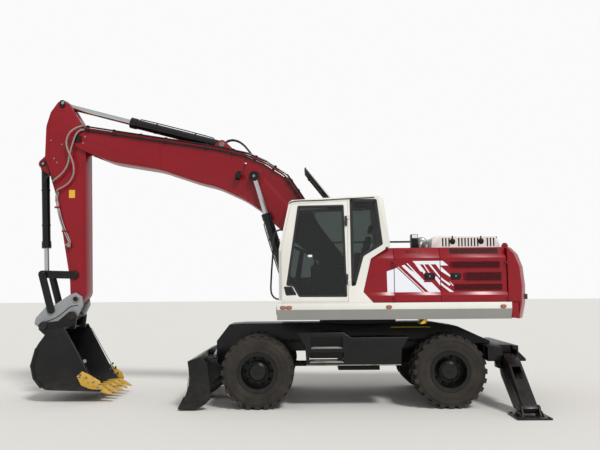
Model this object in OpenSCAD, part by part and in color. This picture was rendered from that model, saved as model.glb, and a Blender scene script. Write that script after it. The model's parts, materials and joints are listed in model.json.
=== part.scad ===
// Wheeled excavator of the 20 to 22 tonne class: a twin-tyred undercarriage with a
// front dozer blade and rear outriggers carries a swinging upper works with cab,
// engine house, counterweight, one-piece boom, arm, quick coupler and bucket.
// +X is forward, +Y is the cab side, +Z is up and the ground is at Z = 0.
// Lengths that begin at the swing axis are moved to the part's own origin last.

/* [Travel gear] */
// Distance between the axles
wheelbase = 2800; // [2600:10:3000]
// Distance from the swing axis forward to the front axle
front_axle_x = 1550; // [1450:10:1650]
// Radius of a tyre out to the tips of its lugs
tyre_r = 530; // [505:5:550]
// Width of one tyre
tyre_w = 270; // [240:5:280]
// Depth of the tread's lugs
lug_deep = 22; // [14:1:30]
// Number of lugs round each shoulder of a tyre
lug_count = 24; // [20:4:32]
// Gap between the twin tyres of one wheel
twin_gap = 60; // [50:5:80]
// Width over the outer faces of the tyres
track_w = 2500; // [2450:10:2550]
// Radius of a rim out to its flange
rim_r = 292; // [285:1:300]
// Radius of the planetary hub
hub_r = 150; // [130:5:165]
// Depth that the dished rim disc lies inside the outer tyre face
rim_dish = 290; // [270:5:300]

/* [Chassis] */
// Width of the main frame
frame_w = 660; // [600:10:680]
// Height of the frame's top above the ground
frame_top = 1195; // [1170:5:1200]
// Outer radius of the slew ring
slew_r = 620; // [560:10:660]
// Width over the side boxes
box_w = 2400; // [2300:10:2460]
// Height of the side boxes' lower edge
box_bottom = 622; // [590:2:660]

/* [Blade] */
// Width of the dozer blade
blade_w = 2540; // [2400:10:2560]
// Height of the blade's pivot
blade_pivot_z = 430; // [400:5:460]
// Distance from the swing axis to the blade's pivot
blade_pivot_x = 2060; // [2040:5:2090]
// Radius of the blade cylinders' barrels
blade_cyl_r = 52; // [40:1:60]

/* [Outriggers] */
// Distance from the swing axis back to the outriggers' middle plane
outrigger_x = 2165; // [2120:5:2180]
// Width over the outrigger beam
beam_w = 2080; // [1900:10:2140]
// Height of an outrigger leg's upper pin
leg_pin_z = 640; // [620:5:660]
// Length of an outrigger leg between its pins
leg_l = 1130; // [1090:10:1170]
// Side of a square foot pad
pad_s = 460; // [400:10:520]

/* [Upper works] */
// Width of the upper works
upper_w = 2500; // [2450:10:2520]
// Height of the deck skirt's lower edge
skirt_bottom = 1285; // [1280:5:1300]
// Height of the deck
deck_z = 1530; // [1500:5:1550]
// Distance from the swing axis to the deck's front edge
deck_front = 1261; // [1220:5:1290]
// Tail swing radius
tail_r = 2630; // [2600:5:2700]
// Distance from the swing axis back to the counterweight's front face
weight_front = 2120; // [2080:5:2150]
// Height of the engine house's roof
hood_top = 2335; // [2250:5:2400]
// Distance from the swing axis back to the engine house's front wall
hood_front = 463; // [450:1:480]
// Distance from the swing axis back to the seam between the side doors
door_seam = 1139; // [1050:5:1250]
// Thickness of the engine house's panels
panel_t = 24; // [18:1:30]
// Height of the white engine cover above the engine house's roof
cover_h = 195; // [150:5:220]

/* [Cab] */
// Gap between the cab and the boom cylinder beside it
cab_gap = 15; // [10:1:40]
// Height of the cab's roof at its rear
cab_top = 3112; // [3050:2:3140]
// Thickness of the cab's walls and of its door
cab_t = 55; // [45:1:65]
// Thickness of the glass
glass_t = 8; // [6:1:12]
// Length of the roof hatch
hatch_l = 586; // [560:2:600]
// Opening angle of the roof hatch as it stands
hatch_angle = 51.7; // [30:0.1:80]

/* [Boom and arm] */
// Sideways place of the boom's middle plane
boom_y = -70; // [-75:1:-65]
// Width of the boom
boom_w = 420; // [400:5:430]
// Width of the arm
arm_w = 330; // [310:5:340]
// Radius of the boom cylinders' barrels
boom_cyl_r = 70; // [55:1:72]
// Radius of the boom cylinders' rods
boom_rod_r = 42; // [35:1:48]
// Radius of the arm cylinder's barrel
arm_cyl_r = 80; // [65:1:85]
// Radius of the arm cylinder's rod
arm_rod_r = 47; // [38:1:52]
// Radius of the bucket cylinder's barrel
bucket_cyl_r = 66; // [55:1:70]
// Radius of the bucket cylinder's rod
bucket_rod_r = 40; // [32:1:45]
// Width of the bucket
bucket_w = 1200; // [900:10:1300]
// Thickness of the bucket's shell
bucket_t = 25; // [20:1:35]
// Number of bucket teeth
teeth = 5; // [4:1:6]

/* [Hidden] */
$fn = 48;

// Colours
black = "#1b1c1e";
dark_grey = "#3a3c3f";
red = "#8c1322";
white = "#e9e7e0";
grey = "#8d9094";
silver = "#b9bdc2";
yellow = "#e0a416";
rubber = "#2a2622";
glass = "#35414a";

// Clearances
pin_fit = 0.05;    // round a pin that turns
seat_gap = 0.3;    // between pieces that lie on each other
part_gap = 6;      // between pieces that move past each other

// Wheels
rear_axle_x = front_axle_x - wheelbase;
axle_z = tyre_r;
twin_out = track_w / 2;
twin_mid = twin_out - tyre_w - twin_gap / 2;
twin_in = twin_out - 2 * tyre_w - twin_gap;
disc_y = twin_out - rim_dish;
stub_r = 60;
kingpin_y = 700;
kingpin_r = 32;

// Pivots of the boom and its cylinders, as [x, z] from the swing axis at the ground
boom_foot = [80, 1880];
boom_tip = [4626, 4259];
boom_cyl_foot = [1020, 1480];
boom_cyl_eye = [1673, 3581];
arm_cyl_foot = [2229, 4153];
arm_cyl_eye = [4903, 4874];
arm_tip = [4604, 1600];
bucket_cyl_foot = [5234, 3862];
lever_pin = [4630, 1993];
lever_eye = [5160, 2010];
link_eye = [4998, 1427];
blade_cyl_foot = [2140, 1010];
blade_cyl_eye = [2350, 600];
eye_r = 75;
boom_pin_r = 45;
arm_pin_r = 50;
cyl_pin_r = 38;
bucket_cyl_pin_r = 34;
blade_cyl_pin_r = 26;
blade_eye_r = 50;
blade_cyl_y = 120;
lever_eye_r = 62;
// Pin distance of each cylinder with its rod right in
boom_cyl_closed = 1650;
arm_cyl_closed = 1925;
bucket_cyl_closed = 1500;
blade_cyl_closed = 324;
front_reach = bucket_cyl_foot[0] + eye_r;
cab_front = 1230;
mid_x = (front_reach - tail_r) / 2;

// Half widths about the boom's middle plane
boom_h = boom_w / 2;
arm_h = arm_w / 2;
boom_cyl_y = boom_h + boom_cyl_r + 15;
ear_in = arm_h + part_gap;
ear_t = 25;
link_in = ear_in + ear_t + part_gap;
bucket_ear = link_in + ear_t + part_gap;

// Helpers
module side(y0, y1) translate([0, y1, 0]) rotate([90, 0, 0]) linear_extrude(y1 - y0) children();
module both() { children(); mirror([0, 1, 0]) children(); }
module about_boom() translate([0, boom_y, 0]) children();
module pin_y(p, r, y0, y1) translate([p[0], y1, p[1]]) rotate([90, 0, 0]) cylinder(h = y1 - y0, r = r);
module box(x, y, z) translate([x[0], y[0], z[0]]) cube([x[1] - x[0], y[1] - y[0], z[1] - z[0]]);
module disc(p, r) translate(p) circle(r);
// A strut with round ends between two points of the side view
module strut(p, q, r) hull() { disc(p, r); disc(q, r); }
// Turns local +X from point p towards point q of the side view
module aim(p, q, y = 0) translate([p[0], y, p[1]])
  rotate([0, -atan2(q[1] - p[1], q[0] - p[0]), 0]) children();
// An outline in the y-z plane made 2 * half wide about x = 0
module across(half) rotate([90, 0, 90]) translate([0, 0, -half]) linear_extrude(2 * half) children();
module along_x(r, x0, x1) translate([x0, 0, 0]) rotate([0, 90, 0]) cylinder(h = x1 - x0, r = r);

// A round pipe or hose along a route that never runs sideways: a ring of corners round each point
function unit(v) = v / norm(v);
module tube(route, r, sides = 8) {
  n = len(route);
  ring = [for (i = [0:n - 1]) let (d = unit(route[min(i + 1, n - 1)] - route[max(i - 1, 0)]),
    u = unit(cross(d, [0, 1, 0])), w = cross(d, u))
    for (j = [0:sides - 1]) route[i] + r * (cos(j * 360 / sides) * u + sin(j * 360 / sides) * w)];
  polyhedron(ring, concat([[for (j = [0:sides - 1]) j]], [[for (j = [sides - 1:-1:0]) (n - 1) * sides + j]],
    [for (i = [0:n - 2]) for (j = [0:sides - 1]) let (k = (j + 1) % sides)
      [i * sides + j, (i + 1) * sides + j, (i + 1) * sides + k, i * sides + k]]));
}
// A line of the side view moved sideways by d, to the right of the way it runs
function turn_right(v) = [v[1], -v[0]];
function line_dir(line, i) = unit(line[min(i + 1, len(line) - 1)] - line[max(i - 1, 0)]);
function between(p, q, t) = p + t * (q - p);
function shifted(line, d) = [for (i = [0:len(line) - 1]) line[i] + d * turn_right(line_dir(line, i))];

// A barrel with its eye at p, aimed at q. Closed is the pin distance with the rod right in.
module barrel(p, q, y, r, rod_r, eye_w, closed, pin_r, head_r = eye_r, rod_head_r = eye_r, collar = 12) {
  long = closed - rod_head_r - 26;
  difference() {
    aim(p, q, y) union() {
      along_x(r, head_r + 10, long);
      along_x(r + collar, long - 1.3 * r, long);
      translate([0, -eye_w / 2, -r * 0.8]) cube([head_r + 14, eye_w, r * 1.6]);
      rotate([90, 0, 0]) translate([0, 0, -eye_w / 2]) cylinder(h = eye_w, r = head_r);
    }
    aim(p, q, y) along_x(rod_r + pin_fit, head_r + 12, long + 1);
    aim(p, q, y) rotate([90, 0, 0]) translate([0, 0, -eye_w]) cylinder(h = 2 * eye_w, r = pin_r + pin_fit);
  }
}
// A rod with its eye at q, reaching back towards p
module rod(p, q, y, rod_r, eye_w, closed, head_r = eye_r, barrel_head_r = eye_r) {
  aim(q, p, y) {
    along_x(rod_r, 0, closed - barrel_head_r - 15);
    rotate([90, 0, 0]) translate([0, 0, -eye_w / 2]) cylinder(h = eye_w, r = head_r);
    along_x(rod_r + 3, 0, head_r + 16);
  }
}

// Door hinges stand on the panels' outer faces. Each is drawn about its pin, which the fixed half holds.
hinge_r = 10;
hinge_pin_r = 5;
hinge_out = 12;
hinge_l = 34;
knuckle_l = 20;
module hinge_leaf(dir, depth) translate([0, 0, -knuckle_l / 2]) {
  cylinder(h = knuckle_l, r = hinge_r);
  translate([min(0, dir * hinge_l), -hinge_out - depth - 2, 0])
    cube([hinge_l, hinge_out + depth + 6, knuckle_l]);
}
module hinge_fixed(dir, depth = 0) {
  for (m = [-1, 1]) translate([0, 0, m * (knuckle_l + 0.5)]) hinge_leaf(dir, depth);
  translate([0, 0, -1.5 * knuckle_l]) cylinder(h = 3 * knuckle_l, r = hinge_pin_r);
}
module hinge_moving(dir, depth = 0) difference() {
  hinge_leaf(dir, depth);
  translate([0, 0, -knuckle_l]) cylinder(h = 2 * knuckle_l, r = hinge_pin_r + pin_fit);
}

// The same hinges laid flat, with the pin along X or along Y and the leaves on a level face
module pin_along_x(p) translate(p) rotate([90, 0, 90]) children();
module pin_along_y(p) translate(p) rotate([90, 0, 0]) children();

// Undercarriage
frame_side = [[-2060, 690], [-2060, 900], [-1560, 1130], [-1150, frame_top],
  [1850, frame_top], [2063, frame_top - 15], [2262, 925], [2262, 720], [2150, 350],
  [1960, 350], [1860, 720], [1800, 760], [850, 760], [780, 640], [-780, 640], [-850, 760],
  [-1600, 760], [-1700, 690]];

tunnel_top = 900;
module chassis_frame() {
  color(black) {
    difference() {
      side(-frame_w / 2, frame_w / 2) polygon(frame_side);
      // Tunnel for the drive line and the space over each axle
      box([-1880, 1780], [-frame_w / 2 + 90, frame_w / 2 - 90], [500, tunnel_top]);
      // Pocket between the blade brackets
      box([1900, 2300], [-frame_w / 2 + 60, frame_w / 2 - 60], [300, blade_cyl_foot[1] + blade_eye_r + 25]);
      pin_y([blade_pivot_x, blade_pivot_z], blade_pin_r + pin_fit, -frame_w, frame_w);
    }
    pin_y(blade_cyl_foot, blade_cyl_pin_r, -frame_w / 2 + 30, frame_w / 2 - 30);
    outrigger_beam();
  }
}

// Cross beam at the rear that carries the outriggers
beam_z = [655, 865];
leg_half = 100;
leg_pin_y = beam_w / 2 - 170;
leg_pin_r = 35;
foot_pin_z = 110;
foot_t = 26;
// Angle of a leg below level when its foot stands on the ground
leg_angle = asin((leg_pin_z - foot_pin_z) / leg_l);
module outrigger_beam() {
  x = -outrigger_x;
  difference() {
    union() {
      box([x - 190, x + 330], [-beam_w / 2 + 200, beam_w / 2 - 200], beam_z);
      both() translate([0, beam_w / 2, 0]) rotate([90, 0, 0]) linear_extrude(340)
        polygon([[x - 235, 655], [x - 235, 690], [x - 60, 865], [x + 320, 865], [x + 320, 655]]);
      // Cheeks on both sides of each leg
      for (s = [-1, 1]) both() box([x + s * (leg_half + 30) - 24, x + s * (leg_half + 30) + 24],
        [leg_pin_y - 120, leg_pin_y + 110], [leg_pin_z - 95, beam_z[0] + 10]);
    }
    both() translate([x, leg_pin_y, leg_pin_z]) along_x(leg_pin_r + pin_fit, -250, 400);
    // Open space for the head of each leg
    both() box([x - leg_half - part_gap, x + leg_half + part_gap], [leg_pin_y - 140, beam_w / 2 + 10],
      [400, beam_z[1] + 1]);
  }
}

// Towing jaws at the rear with their pin holes
hitch_r = 20.5;
module tow_hitch() color(black) difference() {
  union() {
    box([-outrigger_x - 202, -outrigger_x - 190], [-75, 75], [680, 840]);
    for (z = [700, 796]) hull() {
      box([-outrigger_x - 202, -outrigger_x - 200], [-70, 70], [z, z + 24]);
      translate([-outrigger_x - 265, 0, z]) cylinder(h = 24, r = 42, $fn = 32);
    }
  }
  translate([-outrigger_x - 265, 0, 600]) cylinder(h = 300, r = hitch_r);
}

module slew_ring() color(dark_grey) translate([0, 0, frame_top]) difference() {
  cylinder(h = 68, r = slew_r);
  translate([0, 0, -1]) cylinder(h = 80, r = slew_r - 130);
}

module axle_tube(x, reach) translate([x, 0, axle_z]) rotate([90, 0, 0])
  translate([0, 0, -reach]) cylinder(h = 2 * reach, r = 95);

module front_axle() color(black) difference() {
  union() {
    axle_tube(front_axle_x, kingpin_y - 180);
    pin_y([front_axle_x, axle_z], 190, -120, 160);
    box([front_axle_x - 110, front_axle_x + 110], [-150, 150], [axle_z + 80, tunnel_top]);
    both() for (s = [-1, 1]) box([front_axle_x - 75, front_axle_x + 75],
      [kingpin_y - 190, kingpin_y + 60], [axle_z + s * 150 - 28, axle_z + s * 150 + 28]);
    both() box([front_axle_x - 75, front_axle_x + 75], [kingpin_y - 230, kingpin_y - 155],
      [axle_z - 178, axle_z + 178]);
  }
  both() translate([front_axle_x, kingpin_y, axle_z - 300]) cylinder(h = 600, r = kingpin_r + pin_fit);
}

module knuckle(s) color(black) translate([front_axle_x, 0, axle_z]) {
  translate([0, s * kingpin_y, -178]) cylinder(h = 356, r = kingpin_r);
  translate([-70, s * kingpin_y - 65, -115]) cube([140, 130, 230]);
  scale([1, s, 1]) rotate([-90, 0, 0]) {
    translate([0, 0, kingpin_y]) cylinder(h = disc_y - 30 - kingpin_y, r = 120);
    translate([0, 0, kingpin_y]) cylinder(h = disc_y + 130 - kingpin_y, r = stub_r);
  }
  // Steering arm
  translate([0, s * kingpin_y, 0]) scale([1, s, 1]) translate([-230, -100, -25]) cube([200, 50, 50]);
}
module knuckle_left() knuckle(1);
module knuckle_right() knuckle(-1);

module rear_axle() color(black) {
  axle_tube(rear_axle_x, disc_y - 100);
  pin_y([rear_axle_x, axle_z], 200, -160, 160);
  both() pin_y([rear_axle_x, axle_z], 130, disc_y - 180, disc_y - 30);
  both() pin_y([rear_axle_x, axle_z], stub_r, disc_y - 130, disc_y + 130);
  both() box([rear_axle_x - 120, rear_axle_x + 120], [130, 330], [axle_z + 60, 760]);
}

module drive_line() color(dark_grey) {
  translate([0, 0, axle_z]) {
    along_x(45, rear_axle_x + 200.5, -330);
    along_x(45, 330, front_axle_x - 190.5);
  }
  box([-330, 330], [-210, 210], [440, 640]);
}

// A side box with steps on the left, mirrored on the right
box_side = [[974, 1101], [288, 1101], [181, 1023], [-660, 1023], [-559, 860], [-546, box_bottom + 4],
  [834, box_bottom], [852, 894]];
module side_boxes() color(black) both() {
  difference() {
    side(760, box_w / 2) polygon(box_side);
    box([306, 765], [box_w / 2 - 230, box_w / 2 + 1], [865, 1036]);
    box([288, 788], [700, box_w / 2 + 1], [660, 813]);
  }
  // Brackets from the frame
  for (x = [-420, 560]) box([x, x + 120], [frame_w / 2, 760], [830, 1000]);
}

// Wheels, modelled about the Y axis and then placed
module wheel_at(x, s) translate([x, 0, axle_z]) scale([1, s, 1]) rotate([-90, 0, 0]) children();

// Outline of half a tyre without its lugs, as [radius, share of the width from the middle plane]
bead_r = rim_r - 12.7;
tread_r = tyre_r - lug_deep;
tyre_half = [[bead_r, 0.408], [rim_r + 8, 0.46], [0.72 * tyre_r, 0.5], [0.86 * tyre_r, 0.5],
  [tread_r - 18, 0.43], [tread_r, 0.36]];
module tyre_solid(y) translate([0, 0, y]) {
  rotate_extrude($fn = 72) polygon([for (m = [-1, 1]) for (i = [0:5])
    let (p = tyre_half[m < 0 ? i : 5 - i]) [p[0], m * p[1] * tyre_w]]);
  for (m = [0, 1]) mirror([0, 0, m]) translate([0, 0, lug_in * tyre_w])
    linear_extrude((lug_out - lug_in) * tyre_w) lug_ring(m * lug_step / 2);
}
// One shoulder's lugs on a ring inside the tread. A lug's flat tip stands on the ground.
lug_step = 360 / lug_count;
lug_root = tread_r - 38;
lug_root_a = 4.7;
lug_tip_a = 3.7;
lug_in = 0.02;
lug_out = 0.46;
module lug_ring(turn) difference() {
  tip_r = tyre_r / cos(lug_tip_a);
  lug = [[lug_root, -lug_root_a], [tip_r, -lug_tip_a], [tip_r, lug_tip_a], [lug_root, lug_root_a]];
  polygon([for (i = [0:lug_count - 1]) for (p = lug) let (a = i * lug_step + turn + p[1])
    p[0] * [cos(a), sin(a)]]);
  circle(r = lug_root - 30);
}
module tyres(x, s) color(rubber) wheel_at(x, s) {
  tyre_solid(twin_out - tyre_w / 2);
  tyre_solid(twin_in + tyre_w / 2);
}
module tyre_front_left() tyres(front_axle_x, 1);
module tyre_front_right() tyres(front_axle_x, -1);
module tyre_rear_left() tyres(rear_axle_x, 1);
module tyre_rear_right() tyres(rear_axle_x, -1);

// A rim's barrel with its flanges, from its open edge to its disc
well_r = 250;
well_t = 12;
module rims(x, s) color(black) wheel_at(x, s) difference() {
  union() {
    for (m = [0, 1]) translate([0, 0, twin_mid * 2 * m]) scale([1, 1, 1 - 2 * m])
      rotate_extrude($fn = 72) polygon([[well_r - well_t, twin_in + 12], [rim_r, twin_in + 6],
        [rim_r, twin_in + 14], [rim_r - 13, twin_in + 24], [well_r, twin_in + 34],
        [well_r, twin_in + tyre_w - 34], [rim_r - 13, twin_in + tyre_w - 24],
        [rim_r - 13, twin_in + tyre_w - 10], [well_r - well_t, twin_in + tyre_w - 10]]);
    translate([0, 0, disc_y - 14]) cylinder(h = 28, r = well_r - 2);
    translate([0, 0, twin_in + tyre_w - 30]) difference() {
      cylinder(h = twin_gap + 60, r = well_r);
      translate([0, 0, -1]) cylinder(h = twin_gap + 62, r = well_r - well_t);
    }
    translate([0, 0, disc_y]) cylinder(h = 200, r = hub_r);
    translate([0, 0, disc_y + 200]) cylinder(h = 22, r1 = hub_r - 8, r2 = hub_r - 40, $fn = 48);
  }
  translate([0, 0, disc_y - 60]) cylinder(h = 195, r = stub_r + pin_fit);
}
module rim_front_left() rims(front_axle_x, 1);
module rim_front_right() rims(front_axle_x, -1);
module rim_rear_left() rims(rear_axle_x, 1);
module rim_rear_right() rims(rear_axle_x, -1);

// Dozer blade: a curved mouldboard with a top box, end plates and two push arms
blade_face = [[2561, 703], [2545, 590], [2535, 470], [2545, 350], [2590, 210], [2687, 22]];
blade_back = [[2655, 15], [2560, 190], [2515, 340], [2505, 470], [2512, 590], [2480, 640],
  [2400, 665], [2420, 756]];
blade_end = [[2561, 703], [2545, 590], [2535, 470], [2545, 350], [2590, 210], [2687, 22], [2655, 15],
  [2440, 15], [2300, 90], [2222, 170], [2250, 470], [2276, 678], [2373, 774]];
blade_pin_r = 40;
module blade() color(black) {
  difference() {
    union() {
      side(-blade_w / 2, blade_w / 2) polygon(concat(blade_face, blade_back));
      both() side(blade_w / 2 - 22, blade_w / 2) polygon(blade_end);
      side(-blade_w / 2, blade_w / 2) polygon([[2440, 15], [2655, 15], [2560, 190], [2470, 160]]);
    }
    // Room for the cylinders behind the top box
    box([2200, 2470], [-frame_w / 2 - 15, frame_w / 2 + 15], [600, 800]);
  }
  difference() {
    both() side(190, 230) polygon([[2540, 640], [2530, 160], [2440, 60], [2300, 130], [2060, 330],
      [1985, 400], [1985, 460], [2060, 505], [2180, 470], [2330, 660]]);
    pin_y([blade_pivot_x, blade_pivot_z], blade_pin_r - 1, -400, 400);
  }
  // Lugs beside the eyes of the cylinders' rods
  both() for (s = [-1, 1]) translate([0, blade_cyl_y + s * 47, 0]) side(-10, 10) polygon([[2515, 500],
    [2360, 540], [2300, 580], [2305, 640], [2350, 660], [2515, 660]]);
  pin_y([blade_pivot_x, blade_pivot_z], blade_pin_r, -frame_w / 2, frame_w / 2);
}
module blade_barrels() color(black) both()
  barrel(blade_cyl_foot, blade_cyl_eye, blade_cyl_y, blade_cyl_r, 30, 60, blade_cyl_closed,
  blade_cyl_pin_r, blade_eye_r, blade_eye_r - 2, 8);
module blade_rods() color(silver) both()
  rod(blade_cyl_foot, blade_cyl_eye, blade_cyl_y, 30, 60, blade_cyl_closed, blade_eye_r - 2, blade_eye_r);

// Outrigger leg: a deep box that tapers to its foot, hung in the cross beam
leg_line = [[-95, -70], [-60, 95], [90, 175], [311, 192], [leg_l - 20, 60], [leg_l + 42, 35], [leg_l + 42, -45],
  [leg_l - 130, -130], [leg_l - 319, -226], [116, -176]];
leg_t = 18;
module outrigger(s) scale([1, s, 1]) color(black) translate([-outrigger_x, leg_pin_y, leg_pin_z]) {
  rotate([-leg_angle, 0, 0]) {
    difference() {
      across(leg_half) polygon(leg_line);
      across(leg_half - leg_t) offset(delta = -leg_t) polygon(leg_line);
      // Opening in the outer face, where the cylinder is reached
      translate([-60, 400, 100]) cube([120, 240, 150]);
      translate([-60, 120, -260]) cube([120, 160, 130]);
    }
    along_x(leg_pin_r, -leg_half - 54, leg_half + 54);
    translate([0, leg_l, 0]) along_x(40, -leg_half - 42, leg_half + 42);
  }
  // Foot with its lugs
  translate([0, leg_l * cos(leg_angle), -leg_pin_z]) {
    for (m = [-1, 1]) translate([m * (leg_half + 18), 0, 0]) across(12) polygon([[-115, foot_t - 1],
      [-50, foot_pin_z + 30], [-25, foot_pin_z + 52], [25, foot_pin_z + 52], [50, foot_pin_z + 30],
      [115, foot_t - 1]]);
    translate([-pad_s / 2, -pad_s / 2, 0]) cube([pad_s, pad_s, foot_t]);
  }
}
module outrigger_left() outrigger(1);
module outrigger_right() outrigger(-1);

// Upper works
module turntable() color(black) {
  translate([0, 0, frame_top + 68 + seat_gap]) difference() {
    cylinder(h = skirt_bottom - frame_top - 40, r = slew_r - 20);
    translate([0, 0, -1]) cylinder(h = skirt_bottom - frame_top, r = slew_r - 160);
  }
  difference() {
    box([-weight_front - 150, deck_front - 20], [-upper_w / 2 + 60, upper_w / 2 - 60],
      [skirt_bottom + 10, skirt_bottom + 40]);
    translate([0, 0, skirt_bottom]) cylinder(h = 60, r = slew_r - 170);
  }
  // Long webs, cross webs and the deck plate
  about_boom() for (s = [-1, 1]) box([-weight_front - 150, deck_front - 20],
    [s * 188 - 20, s * 188 + 20], [skirt_bottom + 30, deck_z - 10]);
  for (x = [-weight_front + 40, -1200, deck_front - 60]) box([x, x + 30],
    [-upper_w / 2 + 62, upper_w / 2 - 62], [skirt_bottom + 30, deck_z - 10]);
  difference() {
    box([-weight_front, deck_front - 20], [-upper_w / 2 + 60, upper_w / 2 - 60],
      [deck_z - 20, deck_z - seat_gap]);
    about_boom() both() box([boom_cyl_foot[0] - 100, deck_front - 75], [boom_cyl_y - boom_cyl_r - 8,
      boom_cyl_y + boom_cyl_r + 8], [deck_z - 30, deck_z + 10]);
  }
  // Boom foot brackets and cylinder foot clevises
  about_boom() difference() {
    for (s = [-1, 1]) {
      side(s * (boom_h + 22) - 18, s * (boom_h + 22) + 18) polygon([[-330, deck_z - 10], [-240, 1640],
        [boom_foot[0] - 110, boom_foot[1] + 40], [boom_foot[0] - 60, boom_foot[1] + 105],
        [boom_foot[0] + 60, boom_foot[1] + 105], [boom_foot[0] + 125, boom_foot[1] + 20],
        [560, 1600], [900, deck_z - 10]]);
      for (m = [-1, 1]) side(s * boom_cyl_y + m * 50 - 11, s * boom_cyl_y + m * 50 + 11) union() {
        polygon([[boom_cyl_foot[0] - 80, skirt_bottom + 35], [boom_cyl_foot[0] - 62, boom_cyl_foot[1]],
          [boom_cyl_foot[0] + 62, boom_cyl_foot[1]], [boom_cyl_foot[0] + 80, skirt_bottom + 35]]);
        disc(boom_cyl_foot, 62);
      }
    }
    pin_y(boom_foot, boom_pin_r + pin_fit, -500, 500);
  }
  about_boom() both() pin_y(boom_cyl_foot, cyl_pin_r, boom_cyl_y - 58, boom_cyl_y + 58);
}

module deck_skirts() color(white) both() {
  side_x = [-weight_front - 45, deck_front];
  translate([side_x[0], 0, 0]) rotate([90, 0, 90]) linear_extrude(side_x[1] - side_x[0])
    polygon([[upper_w / 2, deck_z - 1], [upper_w / 2, skirt_bottom + 150], [upper_w / 2 - 45, skirt_bottom],
      [upper_w / 2 - 59.7, skirt_bottom], [upper_w / 2 - 59.7, deck_z - 1]]);
}

// Amber oval lamps on the skirts, as places along them, and the two head lamps at the deck's front
oval_x = [1171, 1083, -376, -2039];
oval_z = 1466;
oval_r = 20;
oval_out = 16;
head_lamp_r = 62;
module lamps() color(yellow) {
  both() for (x = oval_x) side(upper_w / 2, upper_w / 2 + oval_out) translate([x, oval_z])
    strut([-18, 0], [18, 0], oval_r, $fn = 16);
  for (y = [-1, 1] * (upper_w / 2 - 200)) translate([deck_front - 30, y, (skirt_bottom + deck_z) / 2 + 10])
    along_x(head_lamp_r, 0, 42);
}

weight_rz = [[tail_r - 500, skirt_bottom], [tail_r - 55, skirt_bottom], [tail_r - 8, skirt_bottom + 220],
  [tail_r, skirt_bottom + 480], [tail_r - 25, skirt_bottom + 760], [tail_r - 90, skirt_bottom + 950],
  [tail_r - 180, hood_top], [tail_r - 1000, hood_top],
  [tail_r - 1000, skirt_bottom]];
module counterweight() color(red) {
  weight_body();
  both() for (h = door_hinges) translate([-weight_front + 4, hood_y + hinge_out, h[0]]) hinge_fixed(-1);
}
module weight_body() intersection() {
  rotate_extrude($fn = 120) polygon(weight_rz);
  translate([-tail_r - 10, 0, 0]) union() {
    translate([0, -upper_w / 2, skirt_bottom - 5]) cube([tail_r + 10 - weight_front - 155, upper_w, hood_top]);
    translate([0, -upper_w / 2, deck_z + 5]) cube([tail_r + 10 - weight_front, upper_w, hood_top]);
  }
}

// Cross section of the engine house's side, from the deck up to the roof
hood_y = upper_w / 2;
shoulder_z = hood_top - 155;
ledge_z = deck_z + 105;
bevel_w = 95;
roof_y = hood_y - 25 - bevel_w;
// How far the bevel's inner face lies inside its outer one, measured level, for a wall t thick
function bevel_t(t) = t * norm([bevel_w, hood_top - shoulder_z]) / (hood_top - shoulder_z);
function hood_half(t) = [[hood_y - t, deck_z + 5], [hood_y - t, ledge_z], [hood_y - 25 - t, ledge_z + 45],
  [hood_y - 25 - t, shoulder_z],
  [roof_y, hood_top - bevel_t(t) * (hood_top - shoulder_z) / bevel_w]];
module along_house(x0, x1) translate([x0, 0, 0]) rotate([90, 0, 90]) linear_extrude(x1 - x0) children();
module door_skin(x0, x1) along_house(x0, x1)
  polygon(concat(hood_half(0), [for (i = [4:-1:0]) hood_half(panel_t)[i]]));

// Edge of the left fixed panel against the cab, from top to bottom
side_seam = [[-440, hood_top + 40], [-126, 2174], [-9, 1687], [-155, deck_z - 1]];
// Heights of the door hinges, with how far the panel lies inside the outer face there
door_hinges = [[deck_z + 50, 0], [shoulder_z - 80, 25]];
house_front = hood_front - 88;
module across_at(x, t) translate([x, 0, 0]) rotate([90, 0, 90]) linear_extrude(t) children();
module house_section(t) polygon(concat(hood_half(t),
  [for (i = [4:-1:0]) [-hood_half(t)[i][0], hood_half(t)[i][1]]]));
module engine_house() color(red) {
  // Roof with the engine opening
  difference() {
    box([-weight_front + 5, -house_front + panel_t], [-roof_y + part_gap, roof_y - part_gap],
      [hood_top - panel_t, hood_top]);
    box([-weight_front + 120, -1180], [-780, 780], [hood_top - 60, hood_top + 10]);
  }
  // Front bulkhead, joined to the fixed side panels, then the middle and rear ones inside the doors
  across_at(-house_front, panel_t) house_section(panel_t - 4);
  for (x = [-door_seam - 12, -weight_front + 5]) across_at(x, panel_t) difference() {
    house_section(panel_t + part_gap);
    translate([-hood_y + 160, deck_z + 60]) square([2 * hood_y - 320, shoulder_z - deck_z - 150]);
  }
  for (x = [-door_seam - 12, -weight_front + 5])
    box([x, x + panel_t], [-roof_y + 60, roof_y - 60], [hood_top - 60, hood_top - 2]);
  // Feet of the bulkheads on the deck plate
  for (x = [-house_front, -door_seam - 12, -weight_front + 5])
    box([x, x + panel_t], [-hood_y + 70, hood_y - 70], [deck_z, deck_z + 12]);
  // Fixed front side panels, the left one with its slanted edge against the cab
  difference() {
    door_skin(-hood_front + 3, 5);
    translate([-part_gap / 2, 0, 0]) side(hood_y - 200, hood_y + 1) polygon(concat(side_seam,
      [[60, deck_z - 1], [60, hood_top + 40]]));
  }
  mirror([0, 1, 0]) door_skin(-hood_front + 3, -house_front + panel_t);
  for (x = cover_hinges) pin_along_x([x, -cover_y - hinge_out, hood_top + hinge_out]) hinge_fixed(-1);
  both() for (h = door_hinges) translate([-hood_front, hood_y + hinge_out, h[0]]) hinge_fixed(1, h[1]);
}

module engine() color(dark_grey) {
  box([-1950, -1250], [-550, 450], [deck_z, 2150]);
}

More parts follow.
